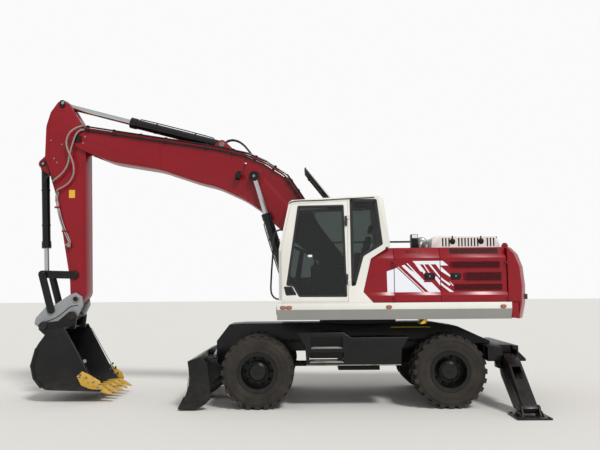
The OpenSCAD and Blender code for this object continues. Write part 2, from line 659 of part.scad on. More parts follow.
// The white engine cover: sloped ends, slots in its side faces
cover_x = [-2140, -1100];
cover_y = 850;
cover_hinges = [-1900, -1350];
slot_w = 22;
slot_pitch = 48;
module engine_cover() color(white) {
  cover_shell();
  for (x = cover_hinges) pin_along_x([x, -cover_y - hinge_out, hood_top + hinge_out]) hinge_moving(1, -3);
}
module cover_shell() translate([0, 0, hood_top + seat_gap]) difference() {
  translate([0, cover_y, 0]) rotate([90, 0, 0]) linear_extrude(2 * cover_y)
    polygon([[cover_x[0], 0], [cover_x[0] + 30, cover_h * 0.6], [cover_x[0] + 95, cover_h],
      [cover_x[1] - 70, cover_h], [cover_x[1], cover_h * 0.75], [cover_x[1] + 15, 0]]);
  translate([0, cover_y - 20, 0]) rotate([90, 0, 0]) linear_extrude(2 * cover_y - 40)
    polygon([[cover_x[0] + 22, -1], [cover_x[0] + 50, cover_h * 0.6], [cover_x[0] + 110, cover_h - 16],
      [cover_x[1] - 85, cover_h - 16], [cover_x[1] - 20, cover_h * 0.7], [cover_x[1] - 8, -1]]);
  for (i = [0:2]) translate([cover_x[1] - 150 - i * slot_pitch, 0, 0]) cover_slot();
  for (i = [0:6]) translate([cover_x[1] - 395 - i * slot_pitch, 0, 0]) cover_slot();
  for (i = [0:2]) translate([cover_x[1] - 830 - i * slot_pitch, 0, 0]) cover_slot();
}
module cover_slot() both() translate([-slot_w, cover_y - 30, 30]) cube([slot_w, 60, cover_h - 65]);

// Side doors of the engine house; grilles are cut into the rear ones
grilles = [[1228 + 45, 1941, 1749 + 40, 1829 - 30], [1460, 1966, 1843, 1958], [1266, 1949, 2030, 2117]];
module rear_door() difference() {
  union() {
    door_skin(-weight_front + 8, -door_seam - 3);
    for (h = door_hinges) translate([-weight_front + 4, hood_y + hinge_out, h[0]]) hinge_moving(1, h[1]);
  }
  for (g = grilles) for (z = [g[2] + 6:22:g[3] - 12])
    box([-g[1], -g[0] - 10], [hood_y - 100, hood_y + 10], [z, z + 10]);
}
module front_door() {
  door_skin(-door_seam + 3, -hood_front - 3);
  for (h = door_hinges) translate([-hood_front, hood_y + hinge_out, h[0]]) hinge_moving(-1, h[1]);
}
module door_left_front() color(red) front_door();
module door_left_rear() color(red) rear_door();
module door_right_front() color(red) mirror([0, 1, 0]) front_door();
module door_right_rear() color(red) mirror([0, 1, 0]) rear_door();

// Fuel and hydraulic tanks on the right, with the tool box in front
tank_y = [-hood_y, -hood_y + 780];
tank_x = [-300, 620];
tool_x = [640, deck_front - 15];
tank_top = hood_top - 25;
tool_z = 1900;
lid_t = 32;
lid_pin = [tool_x[0] - 9.5, tool_z + lid_t + hinge_out];
lid_hinges = [tank_y[0] + 150, tank_y[1] - 150];
module tanks() color(red) {
  box(tank_x, tank_y, [deck_z, tank_top]);
  difference() {
    box(tool_x, tank_y, [deck_z, tool_z]);
    box([tool_x[0] + 25, tool_x[1] - 25], [tank_y[0] + 25, tank_y[1] - 25], [deck_z + 25, tool_z + 1]);
  }
  for (y = lid_hinges) pin_along_y([lid_pin[0], y, lid_pin[1]]) hinge_fixed(-1);
}
module tool_box_lid() color(black) {
  box(tool_x, tank_y, [tool_z + seat_gap, tool_z + lid_t]);
  for (y = lid_hinges) pin_along_y([lid_pin[0], y, lid_pin[1]]) hinge_moving(1);
}

module exhaust() color(silver) {
  translate([-985, 620, hood_top + 105]) rotate([90, 0, 0]) cylinder(h = 480, r = 92);
  translate([-985, 380, hood_top]) cylinder(h = 60, r = 60);
}
module air_cleaner() color(black) {
  box([-886, -782], [700, 860], [hood_top, 2560]);
}
rail_y = -hood_y + 160;
rail_z = hood_top + 235;
rail_r = 17;
module handrails() color(black) {
  for (p = [[-1900, hood_top], [500, tank_top]]) translate([p[0], rail_y, p[1]])
    cylinder(h = rail_z - p[1], r = rail_r);
  translate([-1900, rail_y, rail_z]) along_x(rail_r, -rail_r, 2400 + rail_r);
  tube([for (p = front_rail) [p[0], cab_y[1] - 45, p[1]]], 13);
}
// Grab rail before the cab's left front pillar, from its foot to its upper end
front_rail = [[cab_front + seat_gap, 1592], [1250, 1592], [1276, 1600], [1306, 1620], [1332, 1654],
  [1346, 1700], [1350, 1760], [1338, 2000], [1316, 2280], [1296, 2500], [1286, 2560], [1262, 2596],
  [1222, 2612], [1168, 2614]];

// Cab: outline in side view
cab_y = [boom_y + boom_cyl_y + boom_cyl_r + cab_gap, upper_w / 2];
seat_y = (cab_y[0] + cab_y[1]) / 2 + 20;
// How far in the engine house's bevel reaches past the cab's corner
bevel_in = hood_y - roof_y + bevel_t(panel_t) + part_gap;
cab_line = [[cab_front, deck_z], [cab_front - 4, 2327], [1073, cab_top - 89], [1030, cab_top - 62],
  [186, cab_top - 13], [-260, cab_top], [-320, cab_top - 50], [-415, 2350], [-340, hood_top + 6], [-340, deck_z]];
door_line = [[1190, deck_z + 18], [1190, 2320], [1042, 2990], [215, 3030], [215, deck_z + 18]];
door_window = [[943, 2954], [271, 2963], [238, 1626], [931, 1632], [1012, 1782], [1114, 1798]];
kick_window = [[1150, 1770], [1040, 1765], [975, 1655], [1120, 1650]];
right_window = [[1100, 1900], [1100, 2330], [980, 2960], [-200, 2990], [-250, 2400], [-250, 1900]];
rear_window = [[172, 3044], [-219, 3040], [-290, 2383], [-18, 2228], [101, 1796], [161, 1790]];
roof_slope = 49 / 844;
function roof_z(x) = cab_top - 13 - (x - 186) * roof_slope;
hatch_x = 475;
hatch_y = [cab_y[0] + 140, upper_w / 2 - 170];
hatch_pin = [hatch_x - hinge_out, roof_z(hatch_x - hinge_out) + hinge_out];
hatch_hinges = [hatch_y[0] + 70, hatch_y[1] - 70];
module cab_inner() polygon([[cab_front - cab_t, deck_z + cab_t], [cab_front - 4 - cab_t, 2320],
  [1073 - cab_t, cab_top - 160], [1000, cab_top - 130], [186, cab_top - 85], [-250, cab_top - 75],
  [-300, cab_top - 110], [-340 + cab_t, 2400], [-340 + cab_t, deck_z + cab_t]]);
module behind_seam(dx) translate([dx, 0])
  polygon(concat(side_seam, [[-500, deck_z - 1], [-500, hood_top + 40]]));
module over_shoulder(z0, z1) intersection() {
  children();
  box([-600, 200], cab_y, [z0, z1]);
}
cab_hinges = [1835, 2800];
module cab_shell() color(white) {
  cab_walls();
  for (y = hatch_hinges) pin_along_y([hatch_pin[0], y, hatch_pin[1]]) hinge_fixed(-1);
  for (z = cab_hinges) translate([door_line[3][0] - 3, cab_y[1] + hinge_out, z]) hinge_fixed(-1);
}
module cab_walls() difference() {
  side(cab_y[0], cab_y[1]) polygon(cab_line);
  difference() {
    side(cab_y[0] + cab_t, cab_y[1] - cab_t) cab_inner();
    // The wall steps in where the fixed red panel covers it
    side(cab_y[1] - cab_t - 30, cab_y[1]) behind_seam(15);
    over_shoulder(shoulder_z - 50, hood_top + 50) side(cab_y[1] - bevel_in - 40, cab_y[1]) behind_seam(40);
  }
  over_shoulder(shoulder_z - part_gap, hood_top + part_gap) side(cab_y[1] - bevel_in, cab_y[1] + 1)
    behind_seam(part_gap / 2);
  side(cab_y[1] - cab_t, cab_y[1] + 1) behind_seam(part_gap / 2);
  // Door opening, rear side window, right window, front, rear and roof openings
  side(cab_y[1] - cab_t - 1, cab_y[1] + 1) offset(delta = part_gap / 2) polygon(door_line);
  side(cab_y[1] - cab_t - 1, cab_y[1] + 1) polygon(rear_window);
  side(cab_y[0] - 1, cab_y[0] + cab_t + 1) polygon(right_window);
  box([980, 1300], [cab_y[0] + 75, cab_y[1] - 75], [1660, 2985]);
  box([-450, -250], [cab_y[0] + 110, cab_y[1] - 110], [2420, 2960]);
  box([hatch_x + 25, hatch_x + hatch_l - 40], [hatch_y[0] + 20, hatch_y[1] - 20], [2950, 3200]);
}

module pane(y) side(y, y + glass_t) children();
module cab_glass() color(glass) {
  pane(cab_y[1] - 30) offset(delta = -seat_gap) polygon(rear_window);
  pane(cab_y[0] + 22) offset(delta = -seat_gap) polygon(right_window);
  side(cab_y[0] + 75 + seat_gap, cab_y[1] - 75 - seat_gap) polygon([[1200, 1660 + seat_gap], [1197, 2325],
    [1054, 2985 - seat_gap], [1046, 2985 - seat_gap], [1189, 2325], [1192, 1660 + seat_gap]]);
  side(cab_y[0] + 110 + seat_gap, cab_y[1] - 110 - seat_gap) polygon([[-375, 2420 + seat_gap],
    [-321, 2960 - seat_gap], [-313, 2960 - seat_gap], [-367, 2420 + seat_gap]]);
}
module cab_door() color(white) difference() {
  union() {
    side(cab_y[1] - cab_t, cab_y[1]) polygon(door_line);
    for (z = cab_hinges) translate([door_line[3][0] - 3, cab_y[1] + hinge_out, z]) hinge_moving(1);
  }
  side(cab_y[1] - cab_t - 1, cab_y[1] + 1) polygon(door_window);
  side(cab_y[1] - cab_t - 1, cab_y[1] + 1) polygon(kick_window);
}
module door_glass() color(glass) {
  pane(cab_y[1] - 30) offset(delta = -seat_gap) polygon(door_window);
  pane(cab_y[1] - 30) offset(delta = -seat_gap) polygon(kick_window);
}
module roof_hatch() color(black) translate([hatch_pin[0], 0, hatch_pin[1]]) rotate([0, -hatch_angle, 0]) {
  translate([hinge_out, 0, seat_gap - hinge_out]) box([0, hatch_l], hatch_y, [0, 30]);
  for (y = hatch_hinges) pin_along_y([0, y, 0]) hinge_moving(1, -4);
}

module seat() color(dark_grey) {
  box([150, 620], [seat_y - 240, seat_y + 240], [deck_z + cab_t + seat_gap, 1800]);
  box([120, 660], [seat_y - 270, seat_y + 270], [1800, 1960]);
  side(seat_y - 250, seat_y + 250) polygon([[200, 1960], [40, 2560], [-60, 2560], [60, 1960]]);
  side(seat_y - 150, seat_y + 150) polygon([[20, 2560], [0, 2760], [-70, 2760], [-60, 2560]]);
}
module controls() color(dark_grey) {
  for (y = [cab_y[0] + 120, cab_y[1] - 160]) box([250, 760], [y, y + 90], [deck_z + cab_t + seat_gap, 2080]);
  side(seat_y - 30, seat_y + 30) polygon([[960, deck_z + cab_t + seat_gap], [1060, deck_z + cab_t + seat_gap],
    [930, 2300], [860, 2280]]);
}

// Boom
boom_top_line = [[4541, 4454], [3247, 4240], [2289, 4083], [1774, 3961], [1469, 3822], [1147, 3608], [923, 3277],
  [560, 2700], [-20, 1960]];
boom_low_line = [[190, 1840], [760, 2300], [1341, 2809], [1529, 3001], [1831, 3213], [2287, 3427], [2576, 3498],
  [3242, 3726], [4060, 3867], [4469, 4034], [4661, 4132]];
module boom_outline() union() {
  polygon(concat(boom_top_line, boom_low_line));
  disc(boom_foot, 105);
  disc(boom_tip, 135);
}
// Edges of the boom's top plate, which stand out from its side plates
flange_out = 9;
flange_t = 16;
plate_edge = concat([for (i = [0:7]) boom_top_line[i]], [between(boom_top_line[7], boom_top_line[8], 0.7)]);
module boom() color(red) about_boom() {
  difference() {
    union() {
      side(-boom_h, boom_h) boom_outline();
      side(-boom_h - flange_out, boom_h + flange_out) polygon(concat(plate_edge,
        [for (i = [len(plate_edge) - 1:-1:0]) shifted(plate_edge, -flange_t)[i]]));
      // Bosses for the boom cylinders and ears for the arm cylinder
      pin_y(boom_cyl_eye, 90, -boom_cyl_y + 52, boom_cyl_y - 52);
      for (s = [-1, 1]) side(s * 106 - 15, s * 106 + 15) hull() {
        disc(arm_cyl_foot, 80);
        translate([arm_cyl_foot[0] - 260, arm_cyl_foot[1] - 150]) square([520, 10]);
      }
    }
    // Fork for the arm's head
    side(-arm_h - part_gap, arm_h + part_gap) union() {
      disc(boom_tip, 330);
      polygon([[4180, 4800], [4180, 4350], [4250, 4100], [4225, 3800], [5000, 3800], [5000, 4800]]);
    }
    pin_y(boom_foot, boom_pin_r - 1, -400, 400);
    pin_y(boom_tip, arm_pin_r + pin_fit, -400, 400);
    pin_y(arm_cyl_foot, cyl_pin_r - 1, -400, 400);
  }
  pin_y(boom_foot, boom_pin_r, -boom_h - 40, boom_h + 40);
  pin_y(arm_cyl_foot, cyl_pin_r, -125, 125);
}
// Pipes on the boom's top plate and on its left side, their clamps and the work lamp
pipe_r = 14;
pipe_lift = 24;
pipe_row = [boom_h - 18, boom_h - 58];
clamp_t = 6;
pipe_start = 0.03;
pipe_end = between(boom_top_line[6], boom_top_line[7], 0.6);
pipe_mid = [for (i = [1:6]) boom_top_line[i]];
function pipe_line(t) = concat([between(boom_top_line[0], boom_top_line[1], t)], pipe_mid, [pipe_end]);
function in_plane(line, y) = [for (p = line) [p[0], y, p[1]]];
// Where the clamps sit, as [index of a point on the boom's top line, share of the way to the next]
clamp_at = [[0, 0.06], [0, 0.4], [0, 0.75], [1, 0.1], [1, 0.8], [2, 0.5], [3, 0.4], [4, 0.4], [5, 0.3], [5, 0.8],
  [6, 0.45]];
side_drop = 46;
side_y = boom_h + pipe_r + clamp_t;
lamp_r = 58;
lamp_x = [1900, 1972];
lamp_z = 3585;
module on_boom_top(c) {
  p = boom_top_line[c[0]];
  q = boom_top_line[c[0] + 1];
  at = between(p, q, c[1]);
  translate([at[0], 0, at[1]]) rotate([0, -atan2(p[1] - q[1], p[0] - q[0]), 0]) children();
}
module boom_fittings() color(black) about_boom() {
  both() tube(in_plane(shifted(pipe_line(pipe_start), pipe_lift), pipe_row[0]), pipe_r);
  both() tube(in_plane(shifted(pipe_line(0.37), pipe_lift), pipe_row[1]), pipe_r);
  tube(in_plane(shifted(pipe_line(pipe_start), -side_drop), side_y), pipe_r);
  for (c = clamp_at) on_boom_top(c) {
    inner = pipe_row[c[0] == 0 && c[1] < 0.4 ? 0 : 1];
    both() box([-20, 20], [inner - pipe_r - clamp_t, boom_h], [seat_gap, pipe_lift + pipe_r + clamp_t]);
    box([-20, 20], [boom_h + seat_gap, side_y + pipe_r + clamp_t],
      [-side_drop - pipe_r - clamp_t, -flange_t - part_gap]);
  }
  // Work lamp on its bracket, facing forward
  translate([lamp_x[0], boom_h + lamp_r + 20, lamp_z]) along_x(lamp_r, 0, lamp_x[1] - lamp_x[0]);
  box([lamp_x[0] + 14, lamp_x[0] + 44], [boom_h + seat_gap, boom_h + lamp_r + 20],
    [lamp_z + lamp_r - 12, lamp_z + lamp_r + 8]);
  box([lamp_x[0], lamp_x[0] + 58], [boom_h + seat_gap, boom_h + 14], [lamp_z + 10, lamp_z + lamp_r + 40]);
}
module boom_barrels() color(black) about_boom() both()
  barrel(boom_cyl_foot, boom_cyl_eye, boom_cyl_y, boom_cyl_r, boom_rod_r, 66, boom_cyl_closed, cyl_pin_r);
module boom_rods() color(silver) about_boom() both()
  rod(boom_cyl_foot, boom_cyl_eye, boom_cyl_y, boom_rod_r, 78, boom_cyl_closed);

// Arm
arm_line = [[4786, 4861], [4884, 4924], [4985, 4900], [5105, 4728], [5175, 4489], [5183, 3971], [4982, 3321],
  [4866, 2753], [4807, 2422], [4750, 2109], [4715, 1920], [4700, 1640], [4530, 1540], [4437, 1665], [4470, 3000],
  [4500, 4074], [4510, 4300], [4552, 4472]];
module arm() color(red) about_boom() {
  difference() {
    union() {
      side(-arm_h, arm_h) union() {
        polygon(arm_line);
        disc(arm_tip, 105);
        disc(boom_tip, 140);
      }
      // Ears for the bucket cylinder
      for (s = [-1, 1]) side(s * 90 - 15, s * 90 + 15) hull() {
        disc(bucket_cyl_foot, eye_r);
        translate([5120, bucket_cyl_foot[1] - 200]) square([10, 400]);
      }
    }
    // Slot for the arm cylinder's eye
    side(-55, 55) union() {
      disc(arm_cyl_eye, 215);
      polygon([[4400, 4640], [5300, 4640], [5300, 5000], [4400, 5000]]);
    }
    pin_y(boom_tip, arm_pin_r - 1, -400, 400);
    pin_y(arm_tip, 40 + pin_fit, -400, 400);
    pin_y(lever_pin, 36 + pin_fit, -400, 400);
    pin_y(bucket_cyl_foot, bucket_cyl_pin_r - 1, -400, 400);
  }
  pin_y(boom_tip, arm_pin_r, -boom_h - 12, boom_h + 12);
  pin_y(bucket_cyl_foot, bucket_cyl_pin_r, -110, 110);
  // Blocks that the hoses end in, and the valve, on the left side
  for (p = ports) box([p[0] - port_half, p[0] + port_half], [arm_h - 10, arm_h + port_out],
    [p[1] - port_half, p[1] + port_half]);
  box(valve_x, [arm_h - 10, arm_h + 62], valve_z);
}
// Hoses that loop from the ends of the boom's left pipes past the pivot, to blocks on the arm's left side
hose_r = 14;
boom_slope = unit(boom_top_line[0] - boom_top_line[1]);
tip_end = shifted([between(boom_top_line[0], boom_top_line[1], pipe_start), boom_top_line[1]], pipe_lift)[0];
side_end = shifted([between(boom_top_line[0], boom_top_line[1], pipe_start), boom_top_line[1]], -side_drop)[0];
hose_ahead = [[boom_slope[0], 0, boom_slope[1]] * seat_gap, [boom_slope[0], 0, boom_slope[1]] * 22];
hose_a = [[62, 6, 4], [112, 28, -14], [170, 52, -50], [228, 68, -102], [268, 76, -170], [288, 80, -240],
  [290, 82, -310], [274, 82, -385], [244, 80, -460], [210, 76, -535], [184, 72, -610], [166, 66, -700],
  [168, 58, -790], [196, 50, -880], [250, 44, -955], [322, 40, -1010], [388, 36, -1044], [424, 30, -1062],
  [442, 22, -1074], [446.8, 14, -1076.8], [447, 0, -1077]];
hose_b = [[44, 6, -2], [80, 14, -18], [118, 20, -58], [146, 24, -118], [170, 26, -190], [194, 26, -270],
  [214, 25, -350], [230, 24, -430], [244, 22, -510], [262, 20, -585], [298, 18, -660], [352, 16, -730],
  [414, 12, -786], [466, 6, -824], [494, -2, -842], [506, -13, -851], [509.8, -24, -852.8], [510, -34, -853]];
port_out = 30;
port_half = 24;
ports = [[tip_end[0] + 447, tip_end[1] - 1077], [side_end[0] + 510, side_end[1] - 853]];
valve_x = [4690, 4760];
valve_z = [2440, 2530];
// A hose from a pipe's end round its bends to the sideways place end_y, where its last bend leaves the plane
module hose(start, bends, end_y) {
  last = start + bends[len(bends) - 1];
  tube(concat([for (p = hose_ahead) start + p], [for (i = [0:len(bends) - 2]) start + bends[i]],
    [[last[0], end_y, last[2]]]), hose_r);
}
module arm_hoses() color(dark_grey) about_boom() {
  hose([tip_end[0], pipe_row[0], tip_end[1]], hose_a, arm_h + port_out + 2 * seat_gap);
  hose([side_end[0], side_y, side_end[1]], hose_b, arm_h + port_out + 2 * seat_gap);
}
module arm_barrel() color(black) about_boom()
  barrel(arm_cyl_foot, arm_cyl_eye, 0, arm_cyl_r, arm_rod_r, 160, arm_cyl_closed, cyl_pin_r);
module arm_rod() color(silver) about_boom()
  rod(arm_cyl_foot, arm_cyl_eye, 0, arm_rod_r, 98, arm_cyl_closed);

// Bucket linkage
module bucket_barrel() color(black) about_boom()
  barrel(bucket_cyl_foot, lever_eye, 0, bucket_cyl_r, bucket_rod_r, 130, bucket_cyl_closed,
  bucket_cyl_pin_r, eye_r, lever_eye_r);
module bucket_rod() color(silver) about_boom()
  rod(bucket_cyl_foot, lever_eye, 0, bucket_rod_r, 90, bucket_cyl_closed, lever_eye_r);
module bucket_lever() color(black) about_boom() {
  difference() {
    both() side(ear_in, ear_in + ear_t) strut(lever_pin, lever_eye, lever_eye_r);
    pin_y(lever_eye, 36 + pin_fit, -400, 400);
  }
  pin_y(lever_pin, 36, -ear_in - ear_t, ear_in + ear_t);
}
module bucket_link() color(black) about_boom() {
  both() side(link_in, link_in + ear_t) strut(lever_eye, link_eye, 60);
  both() pin_y(lever_eye, 36, ear_in - 15, link_in + ear_t + 8);
}

// Quick coupler
module coupler() color(grey) about_boom() {
  difference() {
    union() {
      both() side(ear_in, ear_in + ear_t) polygon([[4604 + 100, 1600 + 70], [4604, 1600 + 105], [4500, 1640],
        [4480, 1500], [4560, 1330], [4900, 1130], [5117, 1085], [5271, 1200], [5250, 1300], [5060, 1510],
        [4960, 1500]]);
      side(-ear_in, ear_in) polygon([[4700, 1290], [4560, 1330], [4900, 1130], [5117, 1085], [5271, 1200],
        [5160, 1260]]);
    }
    pin_y(bucket_pins[0], 45 + pin_fit, -400, 400);
    pin_y(bucket_pins[1], 45 + pin_fit, -400, 400);
  }
  pin_y(arm_tip, 40, -ear_in - ear_t, ear_in + ear_t);
  pin_y(link_eye, 36, -ear_in - ear_t, ear_in + ear_t);
}

// Bucket: a rounded shell with side plates, ears and a lip
bucket_pins = [[4640, 1330], [5105, 1170]];
module bucket() color(black) about_boom() {
  side(-bucket_w / 2, bucket_w / 2) polygon([[4641, 1167], [4894, 1110], [5085, 850], [5157, 573], [5107, 373],
    [4940, 197], [4060, 168], [4056, 196], [4925, 225], [5082, 383], [5130, 573], [5062, 838], [4882, 1086],
    [4641, 1140]]);
  both() side(bucket_w / 2 - bucket_t, bucket_w / 2) polygon([[4641, 1167], [4894, 1110], [5085, 850],
    [5157, 573], [5107, 373], [4940, 197], [4060, 168], [4264, 475]]);
  both() difference() {
    side(bucket_ear, bucket_ear + 30) polygon([[4580, 1120], [4560, 1330], [4600, 1400], [4680, 1400],
      [4860, 1250], [5040, 1230], [5105, 1250], [5180, 1190], [5170, 1110], [5000, 960], [4880, 1085]]);
    for (p = bucket_pins) pin_y(p, 44, -400, 400);
  }
  for (p = bucket_pins) pin_y(p, 45, -bucket_ear - 30, bucket_ear + 30);
}
// Side cutter, bolted on the outside of a side plate
cutter = [[4416, 410], [4331, 486], [4224, 436], [4053, 336], [4006, 221], [4070, 197], [4224, 221], [4344, 272],
  [4396, 373]];
cutter_t = 28;
tooth_h = [57, 34];
tooth_y = (bucket_w - 2 * bucket_t - 2 * tooth_h[0]) / 2;
module tooth() intersection() {
  side(-tooth_h[0], tooth_h[0]) polygon([[4200, 201.2], [4050, 236], [3860, 118], [3850, 98], [4050, 160],
    [4055.5, 168], [4055.7, 196.4]]);
  translate([0, 0, 50]) linear_extrude(300) polygon([[4210, -tooth_h[0]], [4210, tooth_h[0]], [4020, tooth_h[0]],
    [3850, tooth_h[1]], [3850, -tooth_h[1]], [4020, -tooth_h[0]]]);
}
module bucket_teeth() color(yellow) about_boom() {
  for (i = [0:teeth - 1]) translate([0, (2 * i / (teeth - 1) - 1) * tooth_y, 0]) tooth();
  both() side(bucket_w / 2, bucket_w / 2 + cutter_t) polygon(cutter);
}

// Each piece, moved from the swing axis to the part's own origin
module placed() translate([-mid_x, 0, 0]) children();
placed() chassis_frame();
placed() slew_ring();
placed() front_axle();
placed() rear_axle();
placed() drive_line();
placed() side_boxes();
placed() tow_hitch();
placed() knuckle_left();
placed() knuckle_right();
placed() tyre_front_left();
placed() tyre_front_right();
placed() tyre_rear_left();
placed() tyre_rear_right();
placed() rim_front_left();
placed() rim_front_right();
placed() rim_rear_left();
placed() rim_rear_right();
placed() blade();
placed() blade_barrels();
placed() blade_rods();
placed() outrigger_left();
placed() outrigger_right();
placed() turntable();
placed() deck_skirts();
placed() counterweight();
placed() engine_house();
placed() engine();
placed() engine_cover();
placed() door_left_front();
placed() door_left_rear();
placed() door_right_front();
placed() door_right_rear();
placed() tanks();
placed() tool_box_lid();
placed() exhaust();
placed() air_cleaner();
placed() handrails();
placed() lamps();
placed() cab_shell();
placed() cab_glass();
placed() cab_door();
placed() door_glass();
placed() roof_hatch();
placed() seat();
placed() controls();
placed() boom();
placed() boom_fittings();
placed() boom_barrels();
placed() boom_rods();
placed() arm();
placed() arm_hoses();
placed() arm_barrel();
placed() arm_rod();
placed() bucket_barrel();
placed() bucket_rod();
placed() bucket_lever();
placed() bucket_link();
placed() coupler();
placed() bucket();
placed() bucket_teeth();
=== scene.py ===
"""Looks of the wheeled excavator: finishes, glass, tread, hoses, lamps, trim and the studio round it."""

import json
import math

import bpy
from mathutils import Matrix, Vector


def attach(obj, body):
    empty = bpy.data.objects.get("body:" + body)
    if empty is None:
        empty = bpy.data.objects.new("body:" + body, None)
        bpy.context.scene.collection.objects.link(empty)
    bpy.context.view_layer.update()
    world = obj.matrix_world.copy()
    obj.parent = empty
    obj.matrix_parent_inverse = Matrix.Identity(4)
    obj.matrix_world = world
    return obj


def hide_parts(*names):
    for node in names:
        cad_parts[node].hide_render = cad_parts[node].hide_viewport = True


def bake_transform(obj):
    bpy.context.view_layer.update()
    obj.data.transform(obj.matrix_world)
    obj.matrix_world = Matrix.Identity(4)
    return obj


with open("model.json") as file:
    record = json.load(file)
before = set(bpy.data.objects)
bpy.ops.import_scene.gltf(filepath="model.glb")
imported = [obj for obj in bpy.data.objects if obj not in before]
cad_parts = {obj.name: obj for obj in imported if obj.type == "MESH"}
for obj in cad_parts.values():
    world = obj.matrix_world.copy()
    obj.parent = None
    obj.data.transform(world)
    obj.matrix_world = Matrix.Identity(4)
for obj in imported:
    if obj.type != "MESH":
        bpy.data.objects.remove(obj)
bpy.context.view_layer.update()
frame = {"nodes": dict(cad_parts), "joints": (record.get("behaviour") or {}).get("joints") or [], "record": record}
NODES = frame["nodes"]
BODY_OF = {node: body for body, nodes in frame["record"]["behaviour"]["bodies"].items() for node in nodes}
SWING = next(j for j in frame["joints"] if j["name"] == "swing")
AXIS_X = SWING["pos_m"][0]


def at(x, y, z):
    """A point given in millimetres from the swing axis at the ground, as the drawing gives it."""
    return Vector((AXIS_X + x / 1000, y / 1000, z / 1000))


# Camera: a 36 mm sensor seen at the photograph's height, a little below the deck
FOCAL = 680 / 600 * 36
CAMERA_AT = Vector((-0.5595, 11.25, 1.76))
PITCH, YAW, ROLL = math.radians(5.25), math.radians(0.76), math.radians(0.45)


def camera():
    bpy.ops.object.camera_add(location=CAMERA_AT)
    cam = bpy.context.object
    cam.data.lens = FOCAL
    cam.data.sensor_width = 36
    forward = Vector((math.sin(YAW) * math.cos(PITCH), -math.cos(YAW) * math.cos(PITCH), math.sin(PITCH)))
    right = forward.cross(Vector((0, 0, 1))).normalized()
    up = right.cross(forward)
    right_rolled = right * math.cos(ROLL) - up * math.sin(ROLL)
    up_rolled = up * math.cos(ROLL) + right * math.sin(ROLL)
    turn = Matrix((right_rolled, up_rolled, -forward)).transposed()
    cam.rotation_euler = turn.to_euler()
    bpy.context.scene.camera = cam


# Materials

def linear(hex_colour):
    """An sRGB hex colour as linear RGBA."""
    parts = [int(hex_colour[i:i + 2], 16) / 255 for i in (1, 3, 5)]
    return tuple(c / 12.92 if c <= 0.04045 else ((c + 0.055) / 1.055) ** 2.4 for c in parts) + (1.0,)


def fill(tree, node, inputs):
    """Fills a node's inputs with values or with other nodes' outputs."""
    for key, value in inputs.items():
        if isinstance(value, bpy.types.NodeSocket):
            tree.links.new(value, node.inputs[key])
        else:
            node.inputs[key].default_value = value


def put(tree, kind, inputs=None, **settings):
    """Adds a node, sets its settings and fills its inputs."""
    made = tree.nodes.new(kind)
    for key, value in settings.items():
        setattr(made, key, value)
    fill(tree, made, inputs or {})
    return made


def new_material(name):
    material = bpy.data.materials.new(name)
    material.use_nodes = True
    tree = material.node_tree
    tree.nodes.clear()
    shader = put(tree, "ShaderNodeBsdfPrincipled")
    put(tree, "ShaderNodeOutputMaterial", {"Surface": shader.outputs[0]})
    place = put(tree, "ShaderNodeTexCoord").outputs["Object"]
    return material, tree, shader, place


def speckle(tree, place, size_mm, detail=3.0, stretch=(1, 1, 1)):
    """A noise whose blotches measure about size_mm."""
    mapped = put(tree, "ShaderNodeMapping", {"Vector": place, "Scale": stretch}).outputs[0]
    return put(tree, "ShaderNodeTexNoise", {"Vector": mapped, "Scale": 1000 / size_mm / 2,
                                            "Detail": detail, "Roughness": 0.6}).outputs[0]


def step(tree, value, low, high, out_low=0.0, out_high=1.0):
    return put(tree, "ShaderNodeMapRange", {0: value, 1: low, 2: high, 3: out_low, 4: out_high},
               interpolation_type="SMOOTHSTEP").outputs[0]


def mixed(tree, factor, first, second):
    return put(tree, "ShaderNodeMix", {0: factor, 6: first, 7: second}, data_type="RGBA").outputs[2]


def calculated(tree, operation, first, second):
    return put(tree, "ShaderNodeMath", {0: first, 1: second}, operation=operation).outputs[0]


def product(tree, first, second):
    return calculated(tree, "MULTIPLY", first, second)


def larger(tree, first, second):
    return calculated(tree, "MAXIMUM", first, second)


def height_of(tree, vector):
    return put(tree, "ShaderNodeSeparateXYZ", {0: vector}).outputs[2]


def facing_up(tree):
    """1 where a surface looks up, where dust settles."""
    normal = put(tree, "ShaderNodeNewGeometry").outputs["Normal"]
    return step(tree, height_of(tree, normal), 0.35, 0.95)


def bumps(tree, height, strength, depth_mm):
    """A surface's normal, roughened by a pattern of that depth."""
    return put(tree, "ShaderNodeBump", {"Height": height, "Strength": strength,
                                        "Distance": depth_mm / 1000}).outputs[0]


def shaded(colour, factor, lift=0.0):
    """A colour made paler or darker."""
    return tuple(min(1.0, c * factor + lift) for c in colour[:3]) + (1.0,)


DUST = linear("#9a9184")


